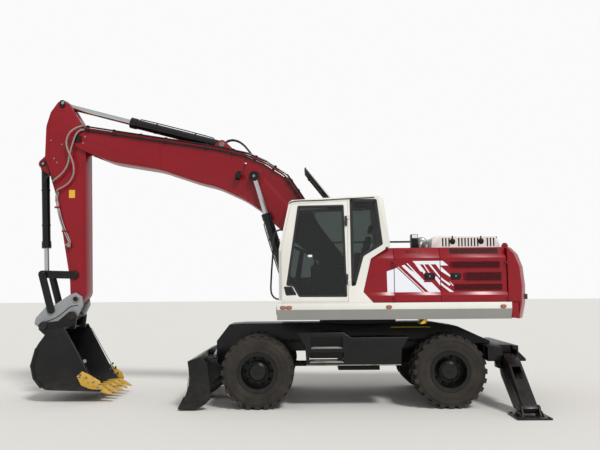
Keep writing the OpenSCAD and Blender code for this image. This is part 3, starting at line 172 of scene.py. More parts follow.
def machine_paint(name, colour, dust=0.25, roughness=0.3, coat=0.35, low_dust_z=None, worn=0.0, metal="#6d6a66",
                  specular=0.5):
    """Sprayed machine enamel on steel plate: even gloss with slight orange peel, dust where it lies flat,
    and bare steel along scraped patches where the piece wears."""
    material, tree, shader, place = new_material(name)
    base = linear(colour)
    cloud = speckle(tree, place, 620, 4)
    tint = mixed(tree, step(tree, cloud, 0.35, 0.7), base, shaded(base, 1.1))
    # Dust: flat tops and, on the undercarriage, what the wheels throw up
    grain = speckle(tree, place, 42, 6)
    flats = product(tree, facing_up(tree), step(tree, grain, 0.3, 0.75))
    film = product(tree, step(tree, speckle(tree, place, 260, 5), 0.42, 0.8), dust * 0.25)
    dusty = larger(tree, product(tree, flats, dust), film)
    if low_dust_z is not None:
        splash = product(tree, step(tree, height_of(tree, place), low_dust_z, 0.0), step(tree, grain, 0.2, 0.8))
        dusty = larger(tree, dusty, product(tree, splash, dust * 1.3))
    finish = mixed(tree, dusty, tint, DUST)
    if worn:
        scrape = speckle(tree, place, 55, 8, (1, 1, 3))
        bare = step(tree, scrape, 0.72 - worn * 0.3, 0.74 - worn * 0.3)
        finish = mixed(tree, bare, finish, linear(metal))
        fill(tree, shader, {"Metallic": product(tree, bare, 0.7)})
    # The orange peel's grain is drawn at 9 mm
    fill(tree, shader, {"Base Color": finish, "Roughness": step(tree, dusty, 0.0, 0.5, roughness, 0.8),
                        "Coat Weight": coat, "Coat Roughness": 0.2, "Specular IOR Level": specular,
                        "Normal": bumps(tree, speckle(tree, place, 9, 2), 0.12, 0.4)})
    return material


def tyre_rubber(name, colour="#201e1c", dust_colour="#4a4239", dust=0.6):
    """Carbon-black tyre rubber: matt, greyed by dust that stays on the plain sidewall and in the tread."""
    material, tree, shader, place = new_material(name)
    blotch = speckle(tree, place, 150, 6)
    fine = speckle(tree, place, 7, 3)
    mask = product(tree, step(tree, blotch, 0.25, 0.8), dust)
    mask = product(tree, mask, step(tree, fine, 0.2, 0.75, 0.55, 1.0))
    fill(tree, shader, {"Base Color": mixed(tree, mask, linear(colour), linear(dust_colour)), "Roughness": 0.82,
                        "Specular IOR Level": 0.35, "Normal": bumps(tree, fine, 0.35, 1.2)})
    return material


def moulded_plastic(name, colour="#1d1e20", roughness=0.5):
    """Injection-moulded ABS or polypropylene with a fine spark-eroded grain, drawn at 3 mm."""
    material, tree, shader, place = new_material(name)
    grain = speckle(tree, place, 3, 2)
    shade = speckle(tree, place, 180, 3)
    base = linear(colour)
    fill(tree, shader, {"Base Color": mixed(tree, step(tree, shade, 0.4, 0.7), base, shaded(base, 1.35, 0.004)),
                        "Roughness": step(tree, grain, 0.3, 0.7, roughness - 0.06, roughness + 0.1),
                        "Normal": bumps(tree, grain, 0.25, 0.5)})
    return material


def hose_rubber(name, dark="#101113", light="#1c1d20"):
    """Wrapped-cover hydraulic hose: satin rubber with the faint bands of its cloth wrap."""
    material, tree, shader, place = new_material(name)
    wrap = put(tree, "ShaderNodeTexWave", {"Vector": place, "Scale": 60.0, "Distortion": 1.2}).outputs[1]
    fill(tree, shader, {"Base Color": mixed(tree, wrap, linear(dark), linear(light)), "Roughness": 0.48,
                        "Normal": bumps(tree, wrap, 0.3, 0.6)})
    return material


def hard_chrome(name):
    """Ground and chromed piston rod: a mirror with faint turning marks and a thin oil film."""
    material, tree, shader, place = new_material(name)
    marks = speckle(tree, place, 2.5, 2)
    film = speckle(tree, place, 140, 4)
    fill(tree, shader, {"Roughness": step(tree, film, 0.35, 0.75, 0.08, 0.22),
                        "Base Color": mixed(tree, film, linear("#dcdee1"), linear("#c4c6c8")),
                        "Metallic": 1.0, "Normal": bumps(tree, marks, 0.05, 0.2)})
    return material


def sheet_steel(name, colour="#a9a9a6", roughness=0.42):
    """Bright stainless or zinc-plated sheet, dulled by weather, with brushing lines about 3 mm apart."""
    material, tree, shader, place = new_material(name)
    lines = speckle(tree, place, 3, 2, (0.06, 1, 1))
    stain = speckle(tree, place, 120, 5)
    dull = mixed(tree, step(tree, stain, 0.4, 0.75), linear(colour), linear("#7d776d"))
    fill(tree, shader, {"Base Color": dull, "Metallic": 0.9,
                        "Roughness": step(tree, lines, 0.2, 0.8, roughness - 0.1, roughness + 0.12),
                        "Normal": bumps(tree, lines, 0.1, 0.3)})
    return material


def dark_casting(name, colour="#1a1b1c"):
    """Sand-cast iron under a thin dark paint: coarse grain of about 8 mm and oily patches."""
    material, tree, shader, place = new_material(name)
    grain = speckle(tree, place, 8, 5)
    patch = speckle(tree, place, 150, 4)
    fill(tree, shader, {"Base Color": mixed(tree, step(tree, patch, 0.4, 0.7), linear(colour), linear("#332f2a")),
                        "Roughness": step(tree, patch, 0.35, 0.7, 0.5, 0.75), "Metallic": 0.25,
                        "Normal": bumps(tree, grain, 0.4, 1.0)})
    return material


def safety_glass(name, colour="#7f8884"):
    """Toughened float glass, 8 mm thick, tinted grey-green, with a thin film of dust."""
    material, tree, shader, place = new_material(name)
    film = speckle(tree, place, 210, 6)
    fill(tree, shader, {"Roughness": step(tree, film, 0.45, 0.9, 0.0, 0.04), "Base Color": linear(colour),
                        "Transmission Weight": 1.0, "IOR": 1.45})
    return material


def lamp_lens(name, colour, roughness=0.12):
    """Clear or dyed polycarbonate lamp lens with moulded flutes about 12 mm apart."""
    material, tree, shader, place = new_material(name)
    flutes = put(tree, "ShaderNodeTexWave", {"Vector": place, "Scale": 26.0}, bands_direction="Z").outputs[1]
    pale = step(tree, flutes, 0.0, 1.0, 0.0, 0.12)
    fill(tree, shader, {"Base Color": mixed(tree, pale, linear(colour), linear("#f2efe6")), "Roughness": roughness,
                        "Coat Weight": 0.2, "Normal": bumps(tree, flutes, 0.35, 1.0)})
    return material


def seat_fabric(name):
    """Flat-woven polyester seat cloth, threads 1.5 mm apart, drawn at 4 mm so that the weave shows."""
    material, tree, shader, place = new_material(name)
    weave = put(tree, "ShaderNodeTexChecker", {"Vector": place, "Scale": 250.0}).outputs[1]
    fuzz = speckle(tree, place, 12, 4)
    tone = mixed(tree, weave, linear("#202226"), linear("#33363b"))
    fill(tree, shader, {"Base Color": mixed(tree, product(tree, fuzz, 0.4), tone, linear("#4a4c50")),
                        "Roughness": 0.9, "Sheen Weight": 0.3, "Normal": bumps(tree, weave, 0.4, 0.8)})
    return material


def vinyl_film(name, colour, roughness=0.35):
    """Self-adhesive cast vinyl with slight fading."""
    material, tree, shader, place = new_material(name)
    fade = speckle(tree, place, 170, 3)
    base = linear(colour)
    fill(tree, shader, {"Base Color": mixed(tree, product(tree, fade, 0.3), base, shaded(base, 0.86)),
                        "Roughness": step(tree, fade, 0.3, 0.7, roughness - 0.05, roughness + 0.1)})
    return material


def hazard_tape(name):
    """Reflective tape with yellow and black bars at 45 degrees, 45 mm wide."""
    material, tree, shader, place = new_material(name)
    turned = put(tree, "ShaderNodeMapping", {"Vector": place, "Rotation": (0, math.radians(45), 0)}).outputs[0]
    across = put(tree, "ShaderNodeSeparateXYZ", {0: turned}).outputs[0]
    mask = step(tree, calculated(tree, "FLOORED_MODULO", across, 0.09), 0.0445, 0.0455)
    fill(tree, shader, {"Base Color": mixed(tree, mask, linear("#e3b21a"), linear("#1a1a1a")), "Roughness": 0.4})
    return material


RED = machine_paint("red_enamel", "#840818", dust=0.03, roughness=0.3, coat=0.15, specular=0.3)
WHITE = machine_paint("white_enamel", "#dedcd5", dust=0.1, roughness=0.32, coat=0.3)
GREY = machine_paint("grey_enamel", "#8b8e90", dust=0.3, roughness=0.42, coat=0.1, worn=0.18)
# Grey enamel that paints shade: laid on white parts, the skirts' lower bevel and the cab's front pillar, where they
# fall in shade
SHADE_GREY = machine_paint("painted_shade_grey_enamel", "#8f8f8b", dust=0.3, roughness=0.4, coat=0.1)
BLACK = machine_paint("black_enamel", "#0a0a0b", dust=0.05, roughness=0.34, coat=0.1, low_dust_z=0.8, specular=0.3)
BLACK_GLOSS = machine_paint("black_gloss_enamel", "#08080a", dust=0.02, roughness=0.24, coat=0.2, specular=0.3)
BUCKET_BLACK = machine_paint("bucket_black_enamel", "#0b0b0c", dust=0.09, roughness=0.38, coat=0.1,
                             low_dust_z=0.5, worn=0.05, specular=0.3)
YELLOW = machine_paint("yellow_enamel", "#c39a35", dust=0.3, roughness=0.5, coat=0.0, worn=0.45,
                       metal="#6b6353")
MESH_RED = machine_paint("dark_red_enamel", "#6a0c18", dust=0.03, roughness=0.4, coat=0.1, specular=0.3)
CASTING = dark_casting("dark_casting")
CHROME = hard_chrome("hard_chrome")
SHEET = sheet_steel("bright_sheet")
GLASS = safety_glass("safety_glass")
TYRE = tyre_rubber("tyre_rubber")
PLASTIC = moulded_plastic("black_moulded_plastic")
DARK_GREY_PLASTIC = moulded_plastic("dark_grey_plastic", "#3b3d40", 0.55)
HOSE = hose_rubber("hydraulic_hose")
SLEEVE = hose_rubber("hose_sleeve", "#6f665d", "#aca298")
CLOTH = seat_fabric("seat_cloth")
AMBER = lamp_lens("amber_lens", "#b2440c")
CLEAR_LENS = lamp_lens("clear_lens", "#d5d8d8")
WHITE_VINYL = vinyl_film("white_vinyl", "#e9ecf3")
YELLOW_VINYL = vinyl_film("yellow_vinyl", "#d8b22c")
TAPE = hazard_tape("hazard_tape")


# Shaping, as by hand

def deselect():
    if bpy.context.object and bpy.context.object.mode == "EDIT":
        bpy.ops.object.mode_set(mode="OBJECT")
    bpy.ops.object.select_all(action="DESELECT")


def select_only(piece):
    deselect()
    piece.select_set(True)
    bpy.context.view_layer.objects.active = piece


def settle(piece):
    """Leaves a piece's object at the origin, unturned and unscaled, with its place in its mesh."""
    select_only(piece)
    bpy.ops.object.transform_apply(location=True, rotation=True, scale=True)
    return piece


def finish_piece(piece, name, body, material, smooth=None):
    """Names a piece and gives it its finish, slot and body; a piece that is blended has no body."""
    piece.name = name
    piece.data.name = name
    settle(piece)
    piece.data.materials.clear()
    piece.data.materials.append(material)
    if smooth is not None:
        bpy.ops.object.shade_smooth_by_angle(angle=math.radians(smooth))
    if body is not None:
        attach(piece, body)
    # A finish whose name the frame already holds gets a number after a dot
    return piece


def apply_modifier(piece, kind, **settings):
    select_only(piece)
    modifier = piece.modifiers.new(kind.lower(), kind)
    for key, value in settings.items():
        setattr(modifier, key, value)
    bpy.ops.object.modifier_apply(modifier=modifier.name)


# How far a rolled bend reaches into its flats, in millimetres, and the least length of a bend's edge, in metres
ROLLED = {"boom": (110, 0.3), "arm": (45, 0.3), "bucket": (95, 1.1), "coupler": (30, 0.3)}
ROLLED_AREA, ROLLED_TURN = 0.02, (4, 60)


def roll_bends(piece, reach_mm, shortest):
    """Turns the corners between long flat plates that run across a box girder into rolled bends."""
    mesh = piece.data
    sides = {}
    for face in mesh.polygons:
        for key in face.edge_keys:
            sides.setdefault(key, []).append(face)
    picked = []
    for edge in mesh.edges:
        faces = sides.get(edge.key, [])
        run = mesh.vertices[edge.vertices[1]].co - mesh.vertices[edge.vertices[0]].co
        if len(faces) != 2 or run.length < shortest or abs(run.y) < 0.98 * run.length:
            continue
        turn = math.degrees(faces[0].normal.angle(faces[1].normal, 0))
        if ROLLED_TURN[0] < turn < ROLLED_TURN[1] and min(face.area for face in faces) > ROLLED_AREA:
            picked.append(edge.index)
    bpy.ops.mesh.select_mode(type="EDGE")
    bpy.ops.mesh.select_all(action="DESELECT")
    bpy.ops.object.mode_set(mode="OBJECT")
    for index in picked:
        mesh.edges[index].select = True
    bpy.ops.object.mode_set(mode="EDIT")
    if picked:
        bpy.ops.mesh.bevel(offset=reach_mm / 1000, segments=5, clamp_overlap=True)


def mesh_copy(node, name):
    """A new object with its own copy of a CAD node's mesh."""
    piece = bpy.data.objects.new(name, NODES[node].data.copy())
    bpy.context.scene.collection.objects.link(piece)
    return piece


def eased(node, material, width_mm):
    """A CAD node with its sharp edges rounded off, as a press brake and a weld leave them."""
    piece = mesh_copy(node, node + "_plating")
    select_only(piece)
    bpy.ops.object.mode_set(mode="EDIT")
    bpy.ops.mesh.select_all(action="SELECT")
    bpy.ops.mesh.remove_doubles(threshold=0.0002)
    bpy.ops.mesh.dissolve_limited(angle_limit=math.radians(1.2))
    bpy.ops.object.mode_set(mode="OBJECT")
    if node in ROLLED:
        bpy.ops.object.mode_set(mode="EDIT")
        roll_bends(piece, *ROLLED[node])
        bpy.ops.mesh.select_mode(type="VERT")
        bpy.ops.mesh.select_all(action="SELECT")
        bpy.ops.object.mode_set(mode="OBJECT")
    apply_modifier(piece, "BEVEL", width=width_mm / 1000, segments=2, limit_method="ANGLE",
                   angle_limit=math.radians(28), harden_normals=False, use_clamp_overlap=True)
    finish_piece(piece, piece.name, BODY_OF[node], material, smooth=35)
    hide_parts(node)


def dress(node, material):
    """A CAD node keeps its shape and takes a finish."""
    piece = NODES[node]
    piece.data.materials.clear()
    piece.data.materials.append(material)


# Shapes cut, turned and bent

def lay_out(points, plane, level):
    """Outline points of a side ("xz"), end ("yz") or plan ("xy") view as places, at one level across the view."""
    if plane == "xz":
        return [at(u, level, v) for u, v in points]
    if plane == "yz":
        return [at(level, u, v) for u, v in points]
    return [at(u, v, level) for u, v in points]


def chain(spots):
    """Starts a mesh as one vertex and draws it on through every spot; ends in edit mode, all selected."""
    deselect()
    bpy.ops.mesh.primitive_plane_add(size=0.001, location=spots[0])
    bpy.ops.object.mode_set(mode="EDIT")
    bpy.ops.mesh.select_all(action="SELECT")
    bpy.ops.mesh.merge(type="CENTER")
    for here, there in zip(spots, spots[1:]):
        bpy.ops.mesh.extrude_vertices_move(TRANSFORM_OT_translate={"value": there - here})
    bpy.ops.mesh.select_all(action="SELECT")


def break_edges(piece, bevel, angle):
    """Breaks the edges that are sharper than an angle in degrees, where a bevel in millimetres is given."""
    if bevel:
        apply_modifier(piece, "BEVEL", width=bevel / 1000, segments=2, limit_method="ANGLE",
                       angle_limit=math.radians(angle))


def cut_plate(outline, near, far, plane="xz", bevel=0.0):
    """A plate cut to an outline in millimetres and pushed from near to far across its view."""
    spots = lay_out(outline, plane, near)
    push = lay_out(outline[:1], plane, far)[0] - spots[0]
    chain(spots)
    bpy.ops.mesh.edge_face_add()
    bpy.ops.mesh.extrude_region_move(TRANSFORM_OT_translate={"value": push})
    bpy.ops.mesh.select_all(action="SELECT")
    bpy.ops.mesh.normals_make_consistent(inside=False)
    bpy.ops.object.mode_set(mode="OBJECT")
    piece = bpy.context.object
    break_edges(piece, bevel, 30)
    return piece


def block(x, y, z, bevel=4.0, segments=2):
    """A block between pairs of millimetre limits with broken edges."""
    deselect()
    low, high = at(x[0], y[0], z[0]), at(x[1], y[1], z[1])
    bpy.ops.mesh.primitive_cube_add(size=1, location=(low + high) / 2)
    piece = bpy.context.object
    piece.scale = high - low
    settle(piece)
    if bevel:
        apply_modifier(piece, "BEVEL", width=bevel / 1000, segments=segments)
    return piece


def round_bar(start, end, radius, sides=20, bevel=0.0):
    """A turned bar from start to end, radius in millimetres."""
    deselect()
    along = end - start
    bpy.ops.mesh.primitive_cone_add(vertices=sides, radius1=radius / 1000, radius2=radius / 1000,
                                    depth=along.length, location=(start + end) / 2,
                                    rotation=along.to_track_quat("Z", "Y").to_euler())
    piece = settle(bpy.context.object)
    break_edges(piece, bevel, 40)
    return piece


def lathe(profile, centre, axis, steps=48):
    """Turns a profile of (distance along the axis, radius) pairs in millimetres about an axis through centre."""
    side = axis.orthogonal().normalized()
    chain([centre + axis * (along / 1000) + side * (radius / 1000) for along, radius in profile])
    bpy.ops.mesh.spin(steps=steps, angle=math.tau, center=centre, axis=axis)
    bpy.ops.mesh.select_all(action="SELECT")
    bpy.ops.mesh.remove_doubles(threshold=0.0001)
    bpy.ops.mesh.normals_make_consistent(inside=False)
    bpy.ops.object.mode_set(mode="OBJECT")
    return bpy.context.object


def bent_tube(spots, radius, resolution=6):
    """A pipe or hose of that radius in millimetres on a curve through the spots."""
    deselect()
    bpy.ops.curve.primitive_bezier_curve_add(location=(0, 0, 0))
    piece = bpy.context.object
    spline = piece.data.splines[0]
    spline.bezier_points.add(len(spots) - 2)
    for point, spot in zip(spline.bezier_points, spots):
        point.co = spot
        point.handle_left_type = point.handle_right_type = "AUTO"
    piece.data.resolution_u = resolution
    piece.data.bevel_depth = radius / 1000
    piece.data.bevel_resolution = 3
    piece.data.use_fill_caps = True
    bpy.ops.object.convert(target="MESH")
    return bpy.context.object


def joined(pieces):
    deselect()
    for piece in pieces:
        piece.select_set(True)
    bpy.context.view_layer.objects.active = pieces[0]
    bpy.ops.object.join()
    return bpy.context.object


def copied(piece, matrix):
    """A copy with its own mesh, moved by a matrix."""
    settle(piece)
    twin = piece.copy()
    twin.data = piece.data.copy()
    bpy.context.scene.collection.objects.link(twin)
    twin.data.transform(matrix)
    if matrix.determinant() < 0:
        twin.data.flip_normals()
    return twin


def about(point, turn):
    """A turn about a point instead of the origin."""
    return Matrix.Translation(point) @ turn @ Matrix.Translation(-point)


def ring_of(piece, count, centre, axis):
    """Copies of a piece at equal angles round an axis, joined; the first one stays."""
    turns = [Matrix.Rotation(math.tau * i / count, 4, axis) for i in range(1, count)]
    return joined([piece] + [copied(piece, about(centre, turn)) for turn in turns])


ALONG, ACROSS, UP = Vector((1, 0, 0)), Vector((0, 1, 0)), Vector((0, 0, 1))
MIRROR = Matrix.Scale(-1, 4, ACROSS)
SIDES = ((1, "left"), (-1, "right"))


# First coat over every node, and rounded plating over the ones with broad flat plates
EASED = [("chassis_frame", BLACK, 6), ("side_boxes", BLACK, 5), ("front_axle", BLACK, 8), ("rear_axle", BLACK, 8),
         ("knuckle_left", BLACK, 6), ("knuckle_right", BLACK, 6), ("tow_hitch", BLACK, 4),
         ("blade", BLACK, 4), ("outrigger_left", BLACK, 6), ("outrigger_right", BLACK, 6),
         ("turntable", BLACK, 4), ("deck_skirts", WHITE, 3), ("counterweight", RED, 16), ("engine_house", RED, 5),
         ("door_left_front", RED, 4), ("door_left_rear", RED, 4), ("door_right_front", RED, 4),
         ("door_right_rear", RED, 4), ("engine_cover", WHITE, 8), ("tanks", RED, 18),
         ("tool_box_lid", BLACK, 6), ("air_cleaner", BLACK, 8), ("cab_shell", WHITE, 12), ("cab_door", WHITE, 8),
         ("roof_hatch", PLASTIC, 6), ("boom", RED, 10), ("arm", RED, 10), ("coupler", GREY, 5),
         ("bucket", BUCKET_BLACK, 4), ("bucket_teeth", YELLOW, 5), ("bucket_lever", BLACK, 5),
         ("bucket_link", BLACK, 5), ("controls", PLASTIC, 14)]
DRESSED = [("slew_ring", CASTING), ("drive_line", CASTING), ("engine", CASTING),
           ("handrails", BLACK_GLOSS), ("cab_glass", GLASS), ("door_glass", GLASS),
           ("boom_fittings", BLACK_GLOSS), ("boom_barrels", BLACK_GLOSS), ("boom_rods", CHROME),
           ("arm_barrel", BLACK_GLOSS), ("arm_rod", CHROME), ("bucket_barrel", BLACK_GLOSS),
           ("bucket_rod", CHROME), ("blade_barrels", BLACK_GLOSS), ("blade_rods", CHROME)]
for wheel in ("front_left", "front_right", "rear_left", "rear_right"):
    DRESSED += [("tyre_" + wheel, TYRE), ("rim_" + wheel, BLACK)]


def coat_nodes():
    for node, material, width in EASED:
        eased(node, material, width)
    for node, material in DRESSED:
        dress(node, material)


# Helpers for the trim

BOOM_Y = -70
BOOM_MIRROR = Matrix.Translation((0, 2 * BOOM_Y / 1000, 0)) @ MIRROR


def both_sides(piece, mirror=BOOM_MIRROR):
    """A piece joined with its mirrored twin."""
    return joined([piece, copied(piece, mirror)])


def repeated(piece, shifts):
    """A piece and its copies at further shifts in millimetres, joined."""
    return joined([piece] + [copied(piece, Matrix.Translation(Vector(shift) / 1000)) for shift in shifts])


def bolts(name, body, spots, axis, radius=13, height=11, material=SHEET):
    """Hexagon bolts with washers, standing on a face along axis."""
    start = spots[0]
    head = round_bar(start - axis * 0.002, start + axis * height / 1000, radius, sides=6, bevel=1.5)
    washer = round_bar(start - axis * 0.002, start + axis * 0.003, radius * 1.4, sides=16)
    whole = repeated(joined([head, washer]), [(spot - start) * 1000 for spot in spots[1:]])
    finish_piece(whole, name, body, material, smooth=30)


def bead(name, body, spots, radius=5, material=RED, twin=None):
    """A weld seam: a bead laid along a joint between plates, also on the other side where a mirror is given."""
    piece = bent_tube(spots, radius, resolution=5)
    if twin is not None:
        piece = both_sides(piece, twin)
    finish_piece(piece, name, body, material, smooth=40)


def side_line(points, level):
    return lay_out(points, "xz", level)


def rounded_face(outline, level, corner, plane="xz"):
    """Starts a face with rounded corners; ends in edit mode with it selected."""
    chain(lay_out(outline, plane, level))
    bpy.ops.mesh.edge_face_add()
    if corner:
        bpy.ops.mesh.bevel(offset=corner / 1000, segments=5, affect="VERTICES")
    bpy.ops.mesh.select_all(action="SELECT")


def pushed(push):
    """Gives the selected face its thickness and leaves edit mode."""
    bpy.ops.mesh.extrude_region_move(TRANSFORM_OT_translate={"value": push})
    bpy.ops.mesh.select_all(action="SELECT")
    bpy.ops.mesh.normals_make_consistent(inside=False)
    bpy.ops.object.mode_set(mode="OBJECT")
    return bpy.context.object


def rounded_plate(outline, near, far, corner, bevel=0.0, plane="xz"):
    rounded_face(outline, near, corner, plane)
    piece = pushed(lay_out(outline[:1], plane, far)[0] - lay_out(outline[:1], plane, near)[0])
    break_edges(piece, bevel, 50)
    return piece


def seal(outline, width, near, far, corner):
    """A flat rubber frame that follows an outline inwards."""
    rounded_face(outline, near, corner)
    bpy.ops.mesh.inset(thickness=width / 1000)
    bpy.ops.mesh.delete(type="FACE")
    bpy.ops.mesh.select_all(action="SELECT")
    return pushed(at(0, far, 0) - at(0, near, 0))


def disc_on(centre, axis, profile, steps=32):
    """A turned cap on a face: the profile starts and ends on the axis."""
    return lathe(profile, centre, axis, steps)


def sides_of(piece, names, bodies, material, smooth=30):
    """A left piece and its mirrored twin on the right, each on its own body."""
    twin = copied(piece, MIRROR)
    finish_piece(piece, names[0], bodies[0], material, smooth=smooth)
    finish_piece(twin, names[1], bodies[1], material, smooth=smooth)


# Wheels: nuts, hub bolts, rings on the sidewalls

AXLES = {"front": 1550, "rear": -1250}
AXLE_Z = 530
DISC_Y, HUB_Y, CAP_Y = 974, 1160, 1182
NUT_CIRCLE, HUB_BOLT_CIRCLE = 0.198, 0.128
TYRE_MIDDLES, SIDEWALL, BEAD_WALL = (1115, 785), 133, 112


def wheels():
    for end, x in AXLES.items():
        for s, side_name in SIDES:
            wheel = end + "_" + side_name
            body = "wheel_" + wheel
            out = ACROSS * s
            centre = at(x, s * DISC_Y, AXLE_Z)
            seat = centre + ALONG * NUT_CIRCLE
            nut = round_bar(seat, seat + out * 0.028, 17, sides=6, bevel=2)
            stud = round_bar(seat, seat + out * 0.046, 9, sides=12, bevel=1.5)
            washer = round_bar(seat, seat + out * 0.006, 24, sides=16)
            finish_piece(ring_of(joined([nut, stud, washer]), 10, centre, out), "wheel_nuts_" + wheel, body,
                         CASTING, smooth=30)
            cap_face = at(x, s * HUB_Y, AXLE_Z)
            seat = cap_face + ALONG * HUB_BOLT_CIRCLE
            bolt = round_bar(seat, seat + out * 0.022, 9, sides=6, bevel=1.5)
            plug = disc_on(at(x, s * CAP_Y, AXLE_Z), out, [(0, 0.1), (0, 34), (7, 34), (10, 30), (10, 14), (16, 12),
                                                           (16, 0.1)])
            rib = disc_on(at(x, s * (DISC_Y + 60), AXLE_Z), out, [(0, 149), (0, 157), (4, 160), (16, 160), (20, 157),
                                                                   (20, 149), (0, 149)], 48)
            finish_piece(joined([ring_of(bolt, 12, cap_face, out), plug, rib]), "hub_bolts_" + wheel, body,
                         BLACK_GLOSS, smooth=35)
            rings = []
            for middle in TYRE_MIDDLES:
                for face in (1, -1):
                    wall = at(x, s * (middle + face * SIDEWALL), AXLE_Z)
                    for radius in (374, 448):
                        rings.append(lathe([(0, radius - 6), (4.5, radius - 3), (4.5, radius + 3), (0, radius + 6),
                                            (-3, radius), (0, radius - 6)], wall, out * face, 72))
                    low = at(x, s * (middle + face * BEAD_WALL), AXLE_Z)
                    rings.append(lathe([(-4, 296), (8, 298), (13, 306), (11, 316), (-4, 322), (-4, 296)], low,
                                       out * face, 72))
            finish_piece(joined(rings), "sidewall_rings_" + wheel, body, TYRE, smooth=60)
            valve = bent_tube([centre + UP * 0.226, centre + UP * 0.226 + out * 0.03,
                               centre + UP * 0.214 + out * 0.07], 6)
            finish_piece(valve, "valve_stem_" + wheel, body, HOSE, smooth=60)


# Blade, chassis, steps and outriggers

BLADE_END_Y, EDGE_Y = 1272, 1262
BOX_SIDE_Y = 1199


def blade():
    # Bolted cutting edge along the blade's foot
    edge = cut_plate([(2604, 182), (2620, 190), (2702, 34), (2687, 22)], -EDGE_Y, EDGE_Y, bevel=2)
    finish_piece(edge, "blade_cutting_edge", "blade", BUCKET_BLACK, smooth=30)
    slope = Vector((0.886, 0, 0.464))
    bolts("blade_edge_bolts", "blade", [at(2646, y, 118) for y in range(-1155, 1200, 210)], slope, 18, 9, CASTING)
    rib = cut_plate([(2508, 590), (2478, 636), (2405, 655), (2392, 560), (2410, 240), (2462, 165), (2550, 192),
                     (2512, 340), (2503, 470)], 372, 388, bevel=2)
    ribs = repeated(rib, [(0, y - 380, 0) for y in (-380, 640, -640, 900, -900, 1120, -1120)])
    finish_piece(ribs, "blade_ribs", "blade", BLACK, smooth=30)
    bead("blade_weld", "blade", side_line([(2300, 150), (2420, 72), (2545, 120), (2556, 300), (2546, 470)],
                                          BLADE_END_Y), 4, BLACK, MIRROR)
    # Pins' caps and hoses of the blade cylinders
    cap = disc_on(at(2060, 330, 430), ACROSS, [(-2, 0.1), (-2, 52), (8, 52), (12, 46), (12, 0.1)])
    finish_piece(both_sides(cap, MIRROR), "blade_pin_caps", "blade", CASTING, smooth=35)
    hose = bent_tube([at(2172, 62, 960), at(2140, 40, 1010), at(2060, 36, 1060), at(1950, 50, 1080),
                      at(1905, 60, 1085)], 11)
    finish_piece(both_sides(hose, MIRROR), "blade_hoses", "chassis", HOSE, smooth=60)


def side_boxes():
    """Cover plates, latches, treads and the bright lower lip."""
    cover = rounded_plate([(150, 985), (-615, 985), (-535, 862), (-520, 668), (255, 668), (255, 850)], BOX_SIDE_Y,
                          BOX_SIDE_Y + 4, 26, 1.2)
    lip = block((-540, 838), (1200, 1206), (624, 636), 2)
    latch = rounded_plate([(-30, 905), (60, 905), (60, 945), (-30, 945)], BOX_SIDE_Y + 4, BOX_SIDE_Y + 11, 10,
                          2)
    latch_two = copied(latch, Matrix.Translation((-0.33, 0, 0)))
    bodies = ("chassis", "chassis")
    sides_of(joined([cover, latch, latch_two]), ("box_cover_left", "box_cover_right"), bodies, BLACK)
    sides_of(lip, ("box_lip_left", "box_lip_right"), bodies, SHEET)
    for level, name, inner, x in ((866, "upper", 975, (312, 760)), (661, "lower", 775, (294, 782))):
        bar = block((x[0], x[1]), (inner, inner + 5), (level, level + 14), 0.8)
        bars = repeated(bar, [(0, 34 * i, 0) for i in range(1, (1192 - inner) // 34 + 1)])
        cross = block((x[0], x[0] + 5), (inner, 1190), (level, level + 12), 0)
        grid = joined([bars, repeated(cross, [(i * (x[1] - x[0] - 5) / 7, 0, 0) for i in range(1, 8)])])
        sides_of(grid, ("tread_%s_left" % name, "tread_%s_right" % name), bodies, SHEET)


def chassis_frame():
    """Bolts on both sides, the yellow line and pipes along the left one."""
    for s, name in SIDES:
        spots = [at(x, s * 330, z) for x in (-1480, -1380, 1500, 1600, 1700) for z in (960, 1060)]
        bolts("frame_bolts_" + name, "chassis", spots, ACROSS * s, 16, 14, BLACK)
    line = bent_tube([at(-500, 332, 1119), at(-524, 342, 1121), at(-560, 343, 1122), at(-1070, 343, 1122),
                      at(-1106, 342, 1120), at(-1130, 332, 1116)], 9)
    finish_piece(line, "yellow_line", "chassis", YELLOW_VINYL, smooth=60)
    pipes = [bent_tube([at(-1500, 338, z), at(-1460, 341, z), at(-900, 341, z), at(1400, 341, z), at(1450, 334, z)], 8)
             for z in (905, 930)]
    clip = block((-900, -870), (329, 352), (893, 942), 2)
    finish_piece(joined(pipes + [repeated(clip, [(500 * i, 0, 0) for i in range(1, 5)])]), "frame_pipes", "chassis",
                 BLACK_GLOSS, smooth=50)


